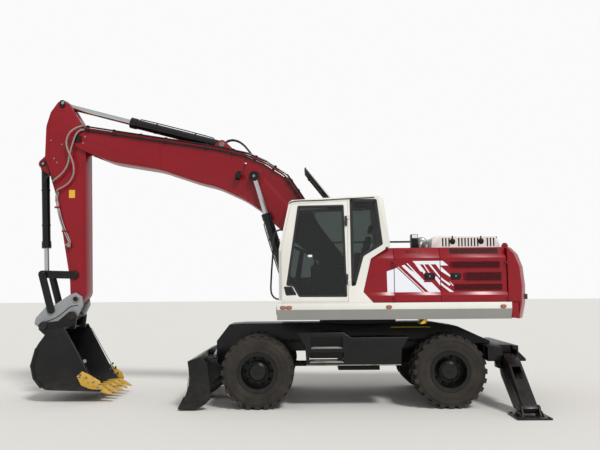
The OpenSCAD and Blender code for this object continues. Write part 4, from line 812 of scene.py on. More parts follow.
def axles():
    """Cover bolts, flanges, the drive shafts' joints and the gearbox's ribs."""
    for name, x in AXLES.items():
        reach = 192 if name == "front" else 202
        face = at(x, 160.5, AXLE_Z)
        bolt = round_bar(face + ALONG * 0.16, face + ALONG * 0.16 + ACROSS * 0.014, 11, sides=6, bevel=1.5)
        finish_piece(ring_of(bolt, 12, face, ACROSS), "axle_bolts_" + name, "chassis", CASTING, smooth=30)
        for s, side_name in SIDES:
            side_ring = lathe([(0, 94), (0, 122), (6, 126), (26, 126), (32, 122), (32, 94), (0, 94)],
                              at(x, s * 330, AXLE_Z), ACROSS * s, 40)
            finish_piece(side_ring, "axle_flange_%s_%s" % (name, side_name), "chassis", BLACK, smooth=35)
        out = 1 if name == "rear" else -1
        end = at(x + out * reach, 0, AXLE_Z)
        yoke = lathe([(0, 0.1), (0, 74), (14, 74), (14, 52), (60, 48), (96, 62), (104, 62), (110, 50), (110, 0.1)],
                     end, ALONG * out, 32)
        cross = round_bar(end + ALONG * out * 0.08 - ACROSS * 0.07, end + ALONG * out * 0.08 + ACROSS * 0.07, 17,
                          bevel=3)
        finish_piece(joined([yoke, cross]), "shaft_joint_" + name, "chassis", CASTING, smooth=35)
    gear = [block((-300, 300), (-214, 214), (470, 500), 6), block((-300, 300), (-214, 214), (560, 590), 6),
            lathe([(0, 0.1), (0, 120), (18, 120), (24, 112), (24, 0.1)], at(0, 0, 640), UP, 32)]
    finish_piece(joined(gear), "gearbox_ribs", "chassis", CASTING, smooth=35)


OUTRIGGER_X = -2165


def outriggers():
    """Pin plates, pad bolts and webs."""
    for s, name in SIDES:
        y = s * 870
        plates = [disc_on(at(OUTRIGGER_X + m * 154, y, 640), ALONG * m,
                          [(0, 0.1), (0, 50), (8, 50), (11, 45), (11, 0.1)]) for m in (-1, 1)]
        finish_piece(joined(plates), "outrigger_pins_" + name, "outrigger_" + name, CASTING, smooth=35)
        foot_y = s * 1868
        spots = [at(OUTRIGGER_X + a, foot_y + b, 26) for a in (-195, 195) for b in (-195, 195)]
        bolts("pad_bolts_" + name, "outrigger_" + name, spots, UP, 16, 12, CASTING)
        web = [cut_plate([(foot_y - 150, 26), (foot_y - 40, 92), (foot_y + 40, 92), (foot_y + 150, 26)], x0, x0 + 12,
                         "yz", 1.5) for x0 in (-2320, -2022)]
        finish_piece(joined(web), "pad_webs_" + name, "outrigger_" + name, BLACK, smooth=30)


# Deck, skirts, lamps, counterweight and what stands on the roof

DECK_SIDE_Y = 1250
ENGINE_ROOF_Z, TANK_TOP_Z = 2335, 2310
SIDE_LAMP_Z = 1466


def oval(x, radius):
    """A side lamp's outline: two half circles whose middles lie 36 mm apart."""
    turns = [math.tau * (i + 0.5) / 20 for i in range(20)]
    return [(x + math.copysign(18, math.cos(a)) + radius * math.cos(a), SIDE_LAMP_Z + radius * math.sin(a))
            for a in turns]


def skirts_and_lamps():
    # Painted shade: a thin grey film over the white skirt's inward-leaning lower bevel, which is the same white as the
    # skirt above it
    bevel = [(1250.4, 1434), (1251.6, 1434), (1206.4, 1284.6), (1205.2, 1284.6)]
    strip = cut_plate(bevel, -2164, 1260, "yz")
    sides_of(strip, ("skirt_painted_shade_left", "skirt_painted_shade_right"), ("upper", "upper"), SHADE_GREY)
    # Oval side lamps in black rubber rings
    lens, ring = [], []
    for x in (1171, 1083, -376, -2039):
        lens.append(rounded_plate(oval(x, 19), DECK_SIDE_Y + 1, DECK_SIDE_Y + 16, 0, 5))
        ring.append(seal(oval(x, 25), 7, DECK_SIDE_Y, DECK_SIDE_Y + 7, 0))
    lens = both_sides(joined(lens), MIRROR)
    finish_piece(lens, "side_lamp_lenses", "upper", AMBER, smooth=50)
    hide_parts("lamps")
    finish_piece(both_sides(joined(ring), MIRROR), "side_lamp_rings", "upper", PLASTIC, smooth=35)
    # Head lamps
    for s, name in SIDES:
        face = at(1231, s * 1050, 1417.5)
        shell = lathe([(0, 0.1), (0, 48), (14, 60), (40, 62), (44, 60), (44, 55), (36, 54), (36, 0.1)], face, ALONG, 40)
        finish_piece(shell, "head_lamp_" + name, "upper", BLACK_GLOSS, smooth=35)
        pane = lathe([(37, 0.1), (37, 53), (40, 53), (43, 30), (44, 0.1)], face, ALONG, 40)
        finish_piece(pane, "head_lamp_lens_" + name, "upper", CLEAR_LENS, smooth=50)
    bolts("deck_bolts", "upper", [at(1241, y, z) for y in (-900, -700, 300, 500, 700, 900) for z in (1350, 1480)],
          ALONG, 13, 8, BLACK)
    # Hazard plate under the skirt
    plate = rounded_plate([(-940, 1217), (-800, 1217), (-800, 1290), (-940, 1290)], 1172, 1176, 8)
    finish_piece(plate, "hazard_plate", "upper", TAPE)


def muffler_and_box():
    """Muffler with its ribs, elbow and cowl before the engine cover, and the black box behind the cab."""
    muffler = lathe([(0, 0.1), (0, 52), (10, 76), (26, 88), (44, 92), (150, 92), (154, 97), (166, 97), (170, 92),
                     (310, 92), (314, 97), (326, 97), (330, 92), (436, 92), (454, 88), (470, 76), (480, 52),
                     (480, 0.1)], at(-985, 140, 2440), ACROSS, 40)
    foot = lathe([(0, 0.1), (0, 74), (10, 74), (12, 60), (70, 60), (70, 0.1)], at(-985, 380, 2335), UP, 32)
    elbow = bent_tube([at(-985, 600, 2440), at(-975, 650, 2436), at(-950, 676, 2415), at(-935, 684, 2380),
                       at(-932, 684, 2340)], 42, resolution=8)
    cowl = lathe([(0, 0.1), (0, 84), (30, 82), (62, 66), (84, 36), (90, 0.1)], at(-1062, 560, 2346), UP, 32)
    exhaust = joined([muffler, foot, elbow, cowl])
    finish_piece(exhaust, "muffler", "upper", SHEET, smooth=45)
    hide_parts("exhaust")
    # Black box behind the cab with its blank white plate and clips
    finish_piece(rounded_plate([(-877, 2499), (-793, 2499), (-793, 2553), (-877, 2553)], 859, 862, 5), "blank_plate",
                 "upper", WHITE_VINYL)
    clips = repeated(block((-870, -850), (858, 866), (2400, 2450), 2), [(52, 0, 0)])
    lid = block((-890, -778), (696, 864), (2470, 2480), 2)
    finish_piece(joined([clips, lid]), "box_clips", "upper", BLACK_GLOSS, smooth=35)


def counterweight_and_roof():
    """Lifting eyes and tail lamps of the counterweight, walkway plates and rail feet on the roof."""
    for s, name in SIDES:
        eye = rounded_plate([(-2300, 2325), (-2192, 2325), (-2200, 2395), (-2226, 2425), (-2266, 2425), (-2292, 2395)],
                            s * 690 - 18, s * 690 + 18, 12, 4)
        finish_piece(eye, "lifting_eye_" + name, "upper", RED, smooth=35)
        cheek = cut_plate([(-2276, 1300), (-2276, 1534), (-2168, 1534), (-2168, 1300)], s * 1090, s * 1234, bevel=3)
        finish_piece(cheek, "weight_cheek_" + name, "upper", RED, smooth=35)
        lamp = rounded_plate([(s * 850, 1560), (s * 965, 1560), (s * 965, 1640), (s * 850, 1640)], -2440, -2484, 10, 3,
                             "yz")
        finish_piece(lamp, "tail_lamp_" + name, "upper", PLASTIC, smooth=35)
        tail = rounded_plate([(s * 860, 1570), (s * 905, 1570), (s * 905, 1630), (s * 860, 1630)], -2480, -2490, 8, 2,
                             "yz")
        finish_piece(tail, "tail_lens_" + name, "upper", AMBER, smooth=35)
    # Walkway plates with raised studs, and rail feet, on the roof
    studs = []
    for x in (-1060, -760):
        sheet = block((x, x + 250), (-1020, -560), (ENGINE_ROOF_Z, ENGINE_ROOF_Z + 4), 1)
        stud = disc_on(at(x + 25, -1000, ENGINE_ROOF_Z + 4), UP, [(0, 0.1), (0, 9), (3, 8), (4, 5), (4, 0.1)], 10)
        row = repeated(stud, [(40 * i, 0, 0) for i in range(1, 6)])
        studs += [sheet, repeated(row, [(0, 40 * i, 0) for i in range(1, 11)])]
    finish_piece(joined(studs), "walkway_plates", "upper", BLACK, smooth=35)
    feet = [disc_on(at(x, -1090, z), UP, [(0, 0.1), (0, 45), (6, 45), (9, 20), (9, 0.1)])
            for x, z in ((-1900, ENGINE_ROOF_Z), (500, TANK_TOP_Z))]
    finish_piece(joined(feet), "rail_feet", "upper", BLACK_GLOSS, smooth=35)


def tanks():
    """Filler caps, gauge, grab bars and straps."""
    filler, cover = (400, -700), (-100, -640)
    caps = []
    for (x, y), r in ((filler, 70), (cover, 88)):
        caps.append(disc_on(at(x, y, TANK_TOP_Z), UP, [(0, 0.1), (0, r + 22), (5, r + 22), (8, r), (34, r),
                                                       (42, r - 8), (44, r - 30), (44, 0.1)]))
    finish_piece(joined(caps), "tank_caps", "upper", BLACK_GLOSS, smooth=35)
    spots = [at(cover[0] + 150 * math.cos(a), cover[1] + 150 * math.sin(a), TANK_TOP_Z)
             for a in [math.tau * i / 8 for i in range(8)]]
    bolts("tank_cover_bolts", "upper", spots, UP, 9, 8)
    gauge = rounded_plate([(-240, 1760), (-205, 1760), (-205, 1990), (-240, 1990)], -DECK_SIDE_Y, -DECK_SIDE_Y - 12,
                          12, 2)
    finish_piece(gauge, "level_gauge", "upper", CLEAR_LENS, smooth=35)
    bars = [bent_tube([at(645, -1225, z), at(645, -1244, z), at(700, -1258, z), at(1180, -1258, z),
                       at(1238, -1244, z), at(1238, -1225, z)], 9) for z in (1640, 1900)]
    finish_piece(joined(bars), "right_grab_bars", "upper", BLACK_GLOSS, smooth=60)
    belts = [block((x, x + 50), (-1256, -466), (2308, 2316), 2) for x in (-240, 540)]
    side_belts = [block((x, x + 50), (-1256, -1249), (1535, 2312), 2) for x in (-240, 540)]
    finish_piece(joined(belts + side_belts), "tank_straps", "upper", BLACK, smooth=35)


# Stripes, grilles and latches of the engine house

FIXED_STRIPES = [[(-356, 1985), (-459, 2018), (-459, 1676), (-361, 1676)]]
FRONT_STRIPES = [
    [(-470, 2024), (-505, 2036), (-880, 1674), (-470, 1674)], [(-517, 2047), (-530, 2050), (-918, 1674), (-900, 1674)],
    [(-574, 2064), (-617, 2081), (-698, 2010), (-762, 1969), (-898, 1822), (-1011, 1820), (-1134, 1690),
     (-1134, 1674), (-971, 1674)],
    [(-645, 2100), (-663, 2103), (-905, 1840), (-890, 1832)],
    [(-737, 2134), (-1134, 2134), (-1134, 2084), (-780, 2084)],
    [(-776, 2085), (-841, 2085), (-925, 1972), (-898, 1942), (-880, 1975), (-846, 1983)],
    [(-888, 2085), (-909, 2085), (-985, 1961), (-968, 1961)],
    [(-967, 2085), (-1000, 2085), (-1134, 1912), (-1134, 1880)],
    [(-1063, 1905), (-1085, 1905), (-1134, 1845), (-1134, 1772), (-1064, 1866)],
    [(-1075, 2085), (-1134, 2085), (-1134, 2000)]]
REAR_STRIPES = [
    [(-1145, 2134), (-1180, 2134), (-1257, 2066), (-1145, 2066)],
    [(-1145, 2048), (-1165, 2035), (-1283, 1925), (-1283, 1896), (-1145, 1985)],
    [(-1147, 1898), (-1185, 1862), (-1291, 1792), (-1268, 1766), (-1147, 1862)],
    [(-1270, 1841), (-1329, 1774), (-1314, 1766)],
    [(-1146, 1822), (-1195, 1776), (-1338, 1675), (-1277, 1675), (-1146, 1782)]]
PANEL_Y = 1225
# Where the black sheets of painted shade stand behind the engine cover's louvres
COVER_SHADE_Y = 806
# The slope between the panels and the roof: where it starts, and a turn that lays upright trim on it
BEVEL_LEAN = about(at(0, PANEL_Y, 2180), Matrix.Rotation(math.atan2(95, 155), 4, "X"))
MESH_CELL = 21
# The last entry says whether a grille lies on the slope under the roof, where heights are measured up the slope
GRILLES = [((-2005, -1288), (2250, 2338), True), ((-2006, -1321), (2030, 2118), False),
           ((-2023, -1515), (1843, 1958), False), ((-2033, -1343), (1709, 1789), False)]


def stripes(name, outlines, bodies):
    film = joined([cut_plate(outline, PANEL_Y, PANEL_Y + 0.8) for outline in outlines])
    sides_of(film, (name + "_left", name + "_right"), bodies, WHITE_VINYL)


def grille(x, z, sloped):
    """A black sheet of painted shade, standing in for the shade behind the mesh, under an expanded mesh in a thin
    frame, as a pair of pieces.
    """
    shade_sheet = block(x, (PANEL_Y, PANEL_Y + 2), z, 0)
    cells = [round((limits[1] - limits[0]) / MESH_CELL) for limits in (x, z)]
    deselect()
    middle = at((x[0] + x[1]) / 2, PANEL_Y + 4, (z[0] + z[1]) / 2)
    bpy.ops.mesh.primitive_grid_add(x_subdivisions=cells[0], y_subdivisions=cells[1], size=1, location=middle,
                                    rotation=(math.radians(90), 0, 0))
    mesh = bpy.context.object
    mesh.scale = ((x[1] - x[0]) / 1000, (z[1] - z[0]) / 1000, 1)
    settle(mesh)
    apply_modifier(mesh, "WIREFRAME", thickness=0.011, use_even_offset=False)
    frame_piece = seal([(x[0] - 8, z[0] - 8), (x[1] + 8, z[0] - 8), (x[1] + 8, z[1] + 8), (x[0] - 8, z[1] + 8)], 10,
                       PANEL_Y, PANEL_Y + 6, 8)
    front = joined([mesh, frame_piece])
    if sloped:
        shade_sheet.data.transform(BEVEL_LEAN)
        front.data.transform(BEVEL_LEAN)
    return shade_sheet, front


def engine_side():
    stripes("panel_stripes", FIXED_STRIPES, ("upper", "upper"))
    stripes("front_stripes", FRONT_STRIPES, ("door_left_front", "door_right_front"))
    stripes("rear_stripes", REAR_STRIPES, ("door_left_rear", "door_right_rear"))
    pairs = [grille(*entry) for entry in GRILLES]
    doors = ("door_left_rear", "door_right_rear")
    # The black sheets under the meshes are painted shade
    sides_of(joined([pair[0] for pair in pairs]), ("grille_painted_shade_left", "grille_painted_shade_right"), doors, BLACK_GLOSS)
    sides_of(joined([pair[1] for pair in pairs]), ("grille_mesh_left", "grille_mesh_right"), doors, MESH_RED)
    for x, name in (((-1059, -903), "front"), ((-1440, -1288), "rear")):
        tray = rounded_plate([(x[0], 1857), (x[1], 1857), (x[1], 1957), (x[0], 1957)], PANEL_Y, PANEL_Y + 7, 26, 2)
        paddle = rounded_plate([(x[0] + 30, 1880), (x[1] - 18, 1880), (x[1] - 18, 1932), (x[0] + 30, 1932)],
                               PANEL_Y + 7, PANEL_Y + 16, 12, 3)
        doors = ("door_left_" + name, "door_right_" + name)
        sides_of(joined([tray, paddle]), ("latch_left_" + name, "latch_right_" + name), doors, BLACK_GLOSS)
        lock = disc_on(at((x[0] + x[1]) / 2, PANEL_Y + 16, 1907), ACROSS,
                       [(0, 0.1), (0, 10), (3, 10), (4, 7), (4, 0.1)])
        sides_of(lock, ("lock_left_" + name, "lock_right_" + name), doors, SHEET)
    # Small louvre on the slope above the front door
    vent = repeated(block((-870, -640), (PANEL_Y, PANEL_Y + 3), (2262, 2266), 1), [(0, 0, 12 * i) for i in range(1, 5)])
    vent.data.transform(BEVEL_LEAN)
    sides_of(vent, ("vent_left", "vent_right"), ("door_left_front", "door_right_front"), MESH_RED)
    bolts("weight_bolts", "upper", [at(-2150, y, ENGINE_ROOF_Z) for y in (-900, -300, 300, 900)], UP, 22, 16, BLACK)


def engine_cover():
    """Round latches, black sheets of painted shade behind the louvres, and ribs along the top."""
    for x, name in ((-1409, "front"), (-1843, "rear")):
        knob = disc_on(at(x, 850, 2443), ACROSS, [(-2, 0.1), (-2, 44), (5, 44), (8, 38), (8, 22), (18, 20), (20, 14),
                                                  (20, 0.1)])
        strap = block((x - 9, x + 9), (849, 862), (2470, 2528), 3)
        finish_piece(joined([knob, strap]), "cover_latch_" + name, "engine_cover", BLACK_GLOSS, smooth=35)
    # Painted shade: black sheets behind the louvres, standing in for the shaded space under the cover
    louvre_shade = block((-2100, -1140), (COVER_SHADE_Y, COVER_SHADE_Y + 4), (2350, 2515), 0)
    finish_piece(both_sides(louvre_shade, MIRROR), "cover_louvre_shade", "engine_cover", PLASTIC)
    ribs = repeated(block((-2010, -1210), (-600, -560), (2529, 2537), 3), [(0, 290 * i, 0) for i in range(1, 5)])
    finish_piece(ribs, "cover_ribs", "engine_cover", WHITE, smooth=35)


# Cab: seals, hinges, handle, wipers and trim

DOOR_WINDOW = [(943, 2954), (271, 2963), (238, 1626), (931, 1632), (1012, 1782), (1114, 1798)]
REAR_WINDOW = [(172, 3044), (-219, 3040), (-290, 2383), (-18, 2228), (101, 1796), (161, 1790)]
KICK_WINDOW = [(1150, 1770), (1040, 1765), (975, 1655), (1120, 1650)]
CAB_Y = (310, 1250)
GLASS_Y = (1247, 1252.5)
SEAT_Y = 800
HATCH_X, HATCH_Z, HATCH_OPEN = 463, 3094.9, -51.7


def grown(outline, by):
    """An outline pushed out from its middle by about so many millimetres."""
    middle = Vector((sum(p[0] for p in outline), sum(p[1] for p in outline))) / len(outline)
    return [tuple(Vector(p) + (Vector(p) - middle).normalized() * by) for p in outline]


def cab_outside():
    finish_piece(seal(grown(DOOR_WINDOW, 12), 34, *GLASS_Y, 22), "door_window_seal", "cab_door", HOSE, smooth=35)
    finish_piece(seal(grown(KICK_WINDOW, 10), 24, *GLASS_Y, 20), "kick_window_seal", "cab_door", HOSE, smooth=35)
    finish_piece(seal(grown(REAR_WINDOW, 16), 44, *GLASS_Y, 20), "rear_window_seal", "upper", HOSE, smooth=35)
    # Hinge covers and the window's latch
    hinge = block((214, 250), (1254, 1273), (1800, 1950), 6)
    finish_piece(repeated(hinge, [(4, 0, 858)]), "hinge_covers", "cab_door", PLASTIC, smooth=35)
    latch = rounded_plate([(735, 2204), (803, 2204), (803, 2238), (735, 2238)], 1227, 1240, 14, 3)
    finish_piece(latch, "window_latch", "cab_door", WHITE_VINYL, smooth=50)
    # Grey strips of painted shade on the white front pillar, and the rain strip above the door
    pillar_shade_strip = block((1197, 1201), (1249, 1252), (1580, 2300), 1)
    finish_piece(repeated(pillar_shade_strip, [(9, 0, 0), (18, 0, 0)]), "pillar_painted_shade", "upper", SHADE_GREY, smooth=35)
    rain = bent_tube([at(1068, 1252, 3000), at(1040, 1254, 3022), at(600, 1254, 3044), at(200, 1254, 3064),
                      at(-190, 1254, 3080)], 8)
    finish_piece(rain, "rain_strip", "upper", PLASTIC, smooth=60)
    # Wipers of the windscreen
    blade = bent_tube([at(1208, 560, 1740), at(1209, 570, 2020), at(1209, 590, 2290)], 7)
    arm = bent_tube([at(1222, 800, 1640), at(1226, 760, 1700), at(1222, 640, 1950), at(1214, 575, 2030)], 6)
    hub = disc_on(at(1222, 800, 1636), ALONG, [(0, 0.1), (0, 22), (12, 20), (16, 12), (16, 0.1)])
    finish_piece(joined([blade, arm, hub]), "wiper", "upper", PLASTIC, smooth=50)
    # Windscreen's frame
    rounded_face([(CAB_Y[0] + 60, 1645), (CAB_Y[1] - 60, 1645), (CAB_Y[1] - 60, 2320), (CAB_Y[0] + 60, 2320)],
                 1230, 30, "yz")
    bpy.ops.mesh.inset(thickness=0.028)
    bpy.ops.mesh.delete(type="FACE")
    bpy.ops.mesh.select_all(action="SELECT")
    finish_piece(pushed(Vector((0.003, 0, 0))), "windscreen_seal", "upper", HOSE, smooth=35)


def cab_roof():
    """The open hatch's panel, inner frame and latch, drawn lying and turned up, and the roof's ribs."""
    lay = about(at(HATCH_X, 0, HATCH_Z), Matrix.Rotation(math.radians(HATCH_OPEN), 4, "Y"))
    z0 = HATCH_Z - 12 + 0.3
    panel = block((466, 1054), (444, 1086), (z0 + 15, z0 + 39), 5)
    frame_bars = [block((575, 965), (y, y + 22), (z0 - 14, z0 + 1), 3) for y in (545, 963)]
    frame_bars += [block((x, x + 22), (545, 985), (z0 - 14, z0 + 1), 3) for x in (575, 943)]
    latch = block((900, 940), (740, 790), (z0 - 40, z0 - 12), 6)
    hatch = joined(frame_bars + [latch])
    for piece, name, material in ((panel, "hatch_panel", WHITE), (hatch, "hatch_frame", PLASTIC)):
        piece.data.transform(lay)
        finish_piece(piece, name, "roof_hatch", material, smooth=35)
    rib = cut_plate([(-200, 3108), (420, 3086), (420, 3092), (-200, 3116)], 560, 600, bevel=2)
    finish_piece(repeated(rib, [(0, 160, 0), (0, 320, 0)]), "roof_ribs", "upper", WHITE, smooth=35)


# How far out of a cushion's middle, as a share of its half width, its two sewn channels run, and how wide they are
CHANNEL, CHANNEL_WIDTH = 0.42, 0.12
BACK_LEAN, BACK_HINGE = -14, (40, 800, 1960)


def cushion(x, y, z, crown, name, lean=0.0, hinge=None):
    """A stuffed cushion: a block with many points whose faces swell between pulled-in corners."""
    piece = block(x, y, z, 0)
    select_only(piece)
    bpy.ops.object.mode_set(mode="EDIT")
    bpy.ops.mesh.select_all(action="SELECT")
    bpy.ops.mesh.subdivide(number_cuts=9)
    bpy.ops.object.mode_set(mode="OBJECT")
    low, high = at(x[0], y[0], z[0]), at(x[1], y[1], z[1])
    middle, half = (low + high) / 2, (high - low) / 2
    thin = min(range(3), key=lambda k: half[k])
    wide = [k for k in range(3) if k != thin]
    for vertex in piece.data.vertices:
        share = [(vertex.co[k] - middle[k]) / half[k] for k in range(3)]
        puff = (1 - share[wide[0]] ** 4) * (1 - share[wide[1]] ** 4)
        vertex.co[thin] = middle[thin] + share[thin] * (half[thin] * 0.72 + crown / 1000 * puff)
        for k in wide:
            other = wide[0] if k == wide[1] else wide[1]
            pull = 0.012 * share[other] ** 2 + 0.02 * abs(share[thin])
            vertex.co[k] = middle[k] + share[k] * (half[k] - pull)
        for seam in (-CHANNEL, CHANNEL):
            near = abs(share[wide[1]] - seam)
            if near < CHANNEL_WIDTH and abs(share[thin]) > 0.9:
                vertex.co[thin] -= math.copysign(0.008 * (1 - near / CHANNEL_WIDTH), share[thin])
    if lean:
        piece.data.transform(about(at(*hinge), Matrix.Rotation(math.radians(lean), 4, "Y")))
    apply_modifier(piece, "SUBSURF", levels=1, render_levels=1)
    finish_piece(piece, name, "upper", CLOTH, smooth=60)
    return piece


def driver_seat():
    seat = cushion((125, 655), (535, 1065), (1800, 1955), 22, "seat_cushion")
    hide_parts("seat")
    cushion((-40, 60), (555, 1045), (1970, 2560), 18, "backrest", BACK_LEAN, BACK_HINGE)
    cushion((-30, 40), (660, 940), (2590, 2750), 14, "headrest", BACK_LEAN, BACK_HINGE)
    base = [block((170, 600), (590, 1010), (1590, 1640), 10), block((200, 570), (620, 980), (1740, 1800), 8)]
    for i in range(5):
        base.append(block((195 + 6 * (i % 2), 575 - 6 * (i % 2)), (612 + 6 * (i % 2), 988 - 6 * (i % 2)),
                          (1640 + 20 * i, 1658 + 20 * i), 6))
    finish_piece(joined(base), "seat_base", "upper", DARK_GREY_PLASTIC, smooth=35)


def cab_controls():
    """Joysticks with gaiters and arm rests, steering wheel, pedals and monitor, and the cab's linings."""
    sticks = []
    for y in (475, 1135):
        foot = at(690, y, 2080)
        sticks.append(lathe([(0, 0.1), (0, 42), (8, 40), (16, 34), (24, 32), (32, 25), (40, 22), (52, 14), (52, 0.1)],
                            foot, UP, 24))
        sticks.append(bent_tube([foot + UP * 0.04, foot + UP * 0.12 + ALONG * 0.012,
                                 foot + UP * 0.2 + ALONG * 0.03], 9))
        grip = lathe([(0, 0.1), (0, 17), (30, 21), (70, 19), (96, 23), (108, 17), (110, 0.1)],
                     foot + UP * 0.16 + ALONG * 0.02, (UP + ALONG * 0.18).normalized(), 24)
        rest = block((300, 560), (y - 40, y + 40), (2082, 2124), 16, 3)
        sticks += [grip, rest]
    finish_piece(joined(sticks), "joysticks", "upper", PLASTIC, smooth=45)
    # Steering wheel and its column head
    up = (UP - ALONG * 0.45).normalized()
    hub = at(880, SEAT_Y, 2320)
    deselect()
    bpy.ops.mesh.primitive_torus_add(location=hub, rotation=up.to_track_quat("Z", "Y").to_euler(), major_radius=0.19,
                                     minor_radius=0.014, major_segments=48, minor_segments=12)
    rim = settle(bpy.context.object)
    boss = lathe([(-60, 0.1), (-60, 34), (-20, 44), (6, 46), (14, 40), (16, 0.1)], hub, up, 32)
    across = up.cross(ACROSS).normalized()
    spokes = [bent_tube([hub + d * 0.03, hub + d * 0.11 - up * 0.004, hub + d * 0.188], 10)
              for d in (ACROSS, -ACROSS, across)]
    finish_piece(joined([rim, boss] + spokes), "steering_wheel", "upper", PLASTIC, smooth=50)
    # Pedals, monitor, floor mat and linings
    pedals = [block((1000, 1100), (y, y + 80), (1630, 1642), 5) for y in (640, 880)]
    pedals += [round_bar(at(1040, y, 1590), at(1060, y, 1634), 10) for y in (680, 920)]
    finish_piece(joined(pedals), "pedals", "upper", CASTING, smooth=35)
    screen = rounded_plate([(395, 2230), (575, 2230), (575, 2360), (395, 2360)], 1046, 1080, 16, 5, "yz")
    stand = bent_tube([at(1064, 480, 2240), at(1070, 470, 2180), at(1120, 420, 2120), at(1150, 380, 2090)], 12)
    finish_piece(joined([screen, stand]), "monitor", "upper", PLASTIC, smooth=40)
    mat = block((-270, 1160), (CAB_Y[0] + 58, CAB_Y[1] - 58), (1586, 1592), 2)
    rear = block((-284, -272), (CAB_Y[0] + 58, CAB_Y[1] - 90), (1590, 2330), 4)
    right = block((-260, 1150), (CAB_Y[0] + 56, CAB_Y[0] + 62), (1592, 1890), 3)
    top = cut_plate([(-240, 3034), (186, 3024), (470, 3008), (470, 2998), (186, 3014), (-240, 3024)], CAB_Y[0] + 58,
                    CAB_Y[1] - 58, bevel=2)
    finish_piece(joined([mat, rear, right, top]), "cab_linings", "upper", DARK_GREY_PLASTIC, smooth=35)


# Boom, arm and cylinders

BOOM_LOW = [(190, 1840), (760, 2300), (1341, 2809), (1529, 3001), (1831, 3213), (2287, 3427), (2576, 3498),
            (3242, 3726), (4060, 3867), (4469, 4034)]
BOOM_FACE, ARM_FACE = BOOM_Y + 210, BOOM_Y + 165
BOOM_CYLINDER_Y, WORK_LAMP_Y = BOOM_Y + 295, BOOM_Y + 288
BOOM_CYLINDER_EYE, ARM_CYLINDER_FOOT, ARM_CYLINDER_EYE = (1673, 3581), (2229, 4153), (4903, 4874)
BUCKET_CYLINDER_FOOT, BUCKET_CYLINDER_EYE = (5234, 3862), (5160, 2010)
# Routes of the two hoses from the boom's tip to the arm, in millimetres from where each one starts
HOSE_A = [(0.3, 0, 0.05), (22, 0, 3.6), (62, 6, 4), (112, 28, -14), (170, 52, -50), (228, 68, -102), (268, 76, -170),
          (288, 80, -240), (290, 82, -310), (274, 82, -385), (244, 80, -460), (210, 76, -535), (184, 72, -610),
          (166, 66, -700), (168, 58, -790), (196, 50, -880), (250, 44, -955), (322, 40, -1010), (388, 36, -1044),
          (424, 30, -1062), (442, 22, -1074), (447, 4, -1077)]
HOSE_B = [(0.3, 0, 0.05), (22, 0, 3.6), (44, 6, -2), (80, 14, -18), (118, 20, -58), (146, 24, -118), (170, 26, -190),
          (194, 26, -270), (214, 25, -350), (230, 24, -430), (244, 22, -510), (262, 20, -585), (298, 18, -660),
          (352, 16, -730), (414, 12, -786), (466, 6, -824), (494, -2, -842), (506, -13, -851), (510, -34, -853)]
TIP_END, SIDE_END = (4498.3, 122, 4471.4), (4509.6, 160, 4402.3)


def hose_end(place, axis, name, body, length=70, radius=17):
    """A crimped hose end with its hexagon nut."""
    crimp = lathe([(0, 0.1), (0, radius - 3), (4, radius), (length * 0.55, radius), (length * 0.6, radius - 3),
                   (length, radius - 4), (length, 0.1)], place, axis, 20)
    nut = round_bar(place + axis * length * 0.00055, place + axis * length * 0.0009, radius + 3, sides=6, bevel=1.5)
    finish_piece(joined([crimp, nut]), name, body, SHEET, smooth=35)


# Length of a cylinder's gland
GLAND = 115
# The photo shows the arm cylinder's barrel this much shorter than the CAD's
BARREL_CUT = 210
BARREL_REACH = 1824


def shorter_barrel():
    piece = mesh_copy("arm_barrel", "arm_barrel_tube")
    start, stop = side_line([ARM_CYLINDER_FOOT, ARM_CYLINDER_EYE], BOOM_Y)
    axis = (stop - start).normalized()
    for vertex in piece.data.vertices:
        if (vertex.co - start).dot(axis) > (BARREL_REACH - 2 * BARREL_CUT) / 1000:
            vertex.co -= axis * BARREL_CUT / 1000
    finish_piece(piece, piece.name, "arm_barrel", BLACK_GLOSS)
    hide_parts("arm_barrel")


def dress_cylinder(name, body, foot, eye, y, radius, reach, pipe_turn, pipe_from=170):
    """Bands, a feed pipe, the gland's ring and its bolts on a cylinder's barrel."""
    start, stop = side_line([foot, eye], y)
    axis = (stop - start).normalized()
    out = Matrix.Rotation(math.radians(pipe_turn), 3, axis) @ axis.cross(ACROSS).normalized()
    pieces = []
    for share in (0.3, 0.72):
        place = start + axis * reach * share / 1000
        pieces.append(lathe([(0, radius - 1), (0, radius + 6), (24, radius + 6), (24, radius - 1), (0, radius - 1)],
                            place, axis, 32))
        pieces.append(round_bar(place + axis * 0.012 + out * (radius - 4) / 1000,
                                place + axis * 0.012 + out * (radius + 26) / 1000, 13, sides=8, bevel=2))
    pieces.append(lathe([(-GLAND, radius - 1), (-GLAND, radius + 9), (-16, radius + 9), (-8, radius + 4),
                         (-8, radius - 1), (-GLAND, radius - 1)], start + axis * reach / 1000, axis, 36))
    gland = start + axis * (reach - 4) / 1000
    bolt = round_bar(gland + out * (radius - 6) / 1000, gland + out * (radius - 6) / 1000 + axis * 0.014, 8, sides=6,
                     bevel=1)
    pieces.append(ring_of(bolt, 8, gland, axis))
    lift = (radius + 15) / 1000
    pieces.append(bent_tube([start + axis * pipe_from / 1000 + out * (radius - 8) / 1000,
                             start + axis * (pipe_from + 6) / 1000 + out * (radius + 6) / 1000,
                             start + axis * (pipe_from + 34) / 1000 + out * lift,
                             start + axis * (reach - GLAND - 60) / 1000 + out * lift,
                             start + axis * (reach - GLAND - 28) / 1000 + out * (radius + 6) / 1000,
                             start + axis * (reach - GLAND - 22) / 1000 + out * (radius - 8) / 1000], 9))
    return finish_piece(joined(pieces), name, body, BLACK_GLOSS, smooth=40)


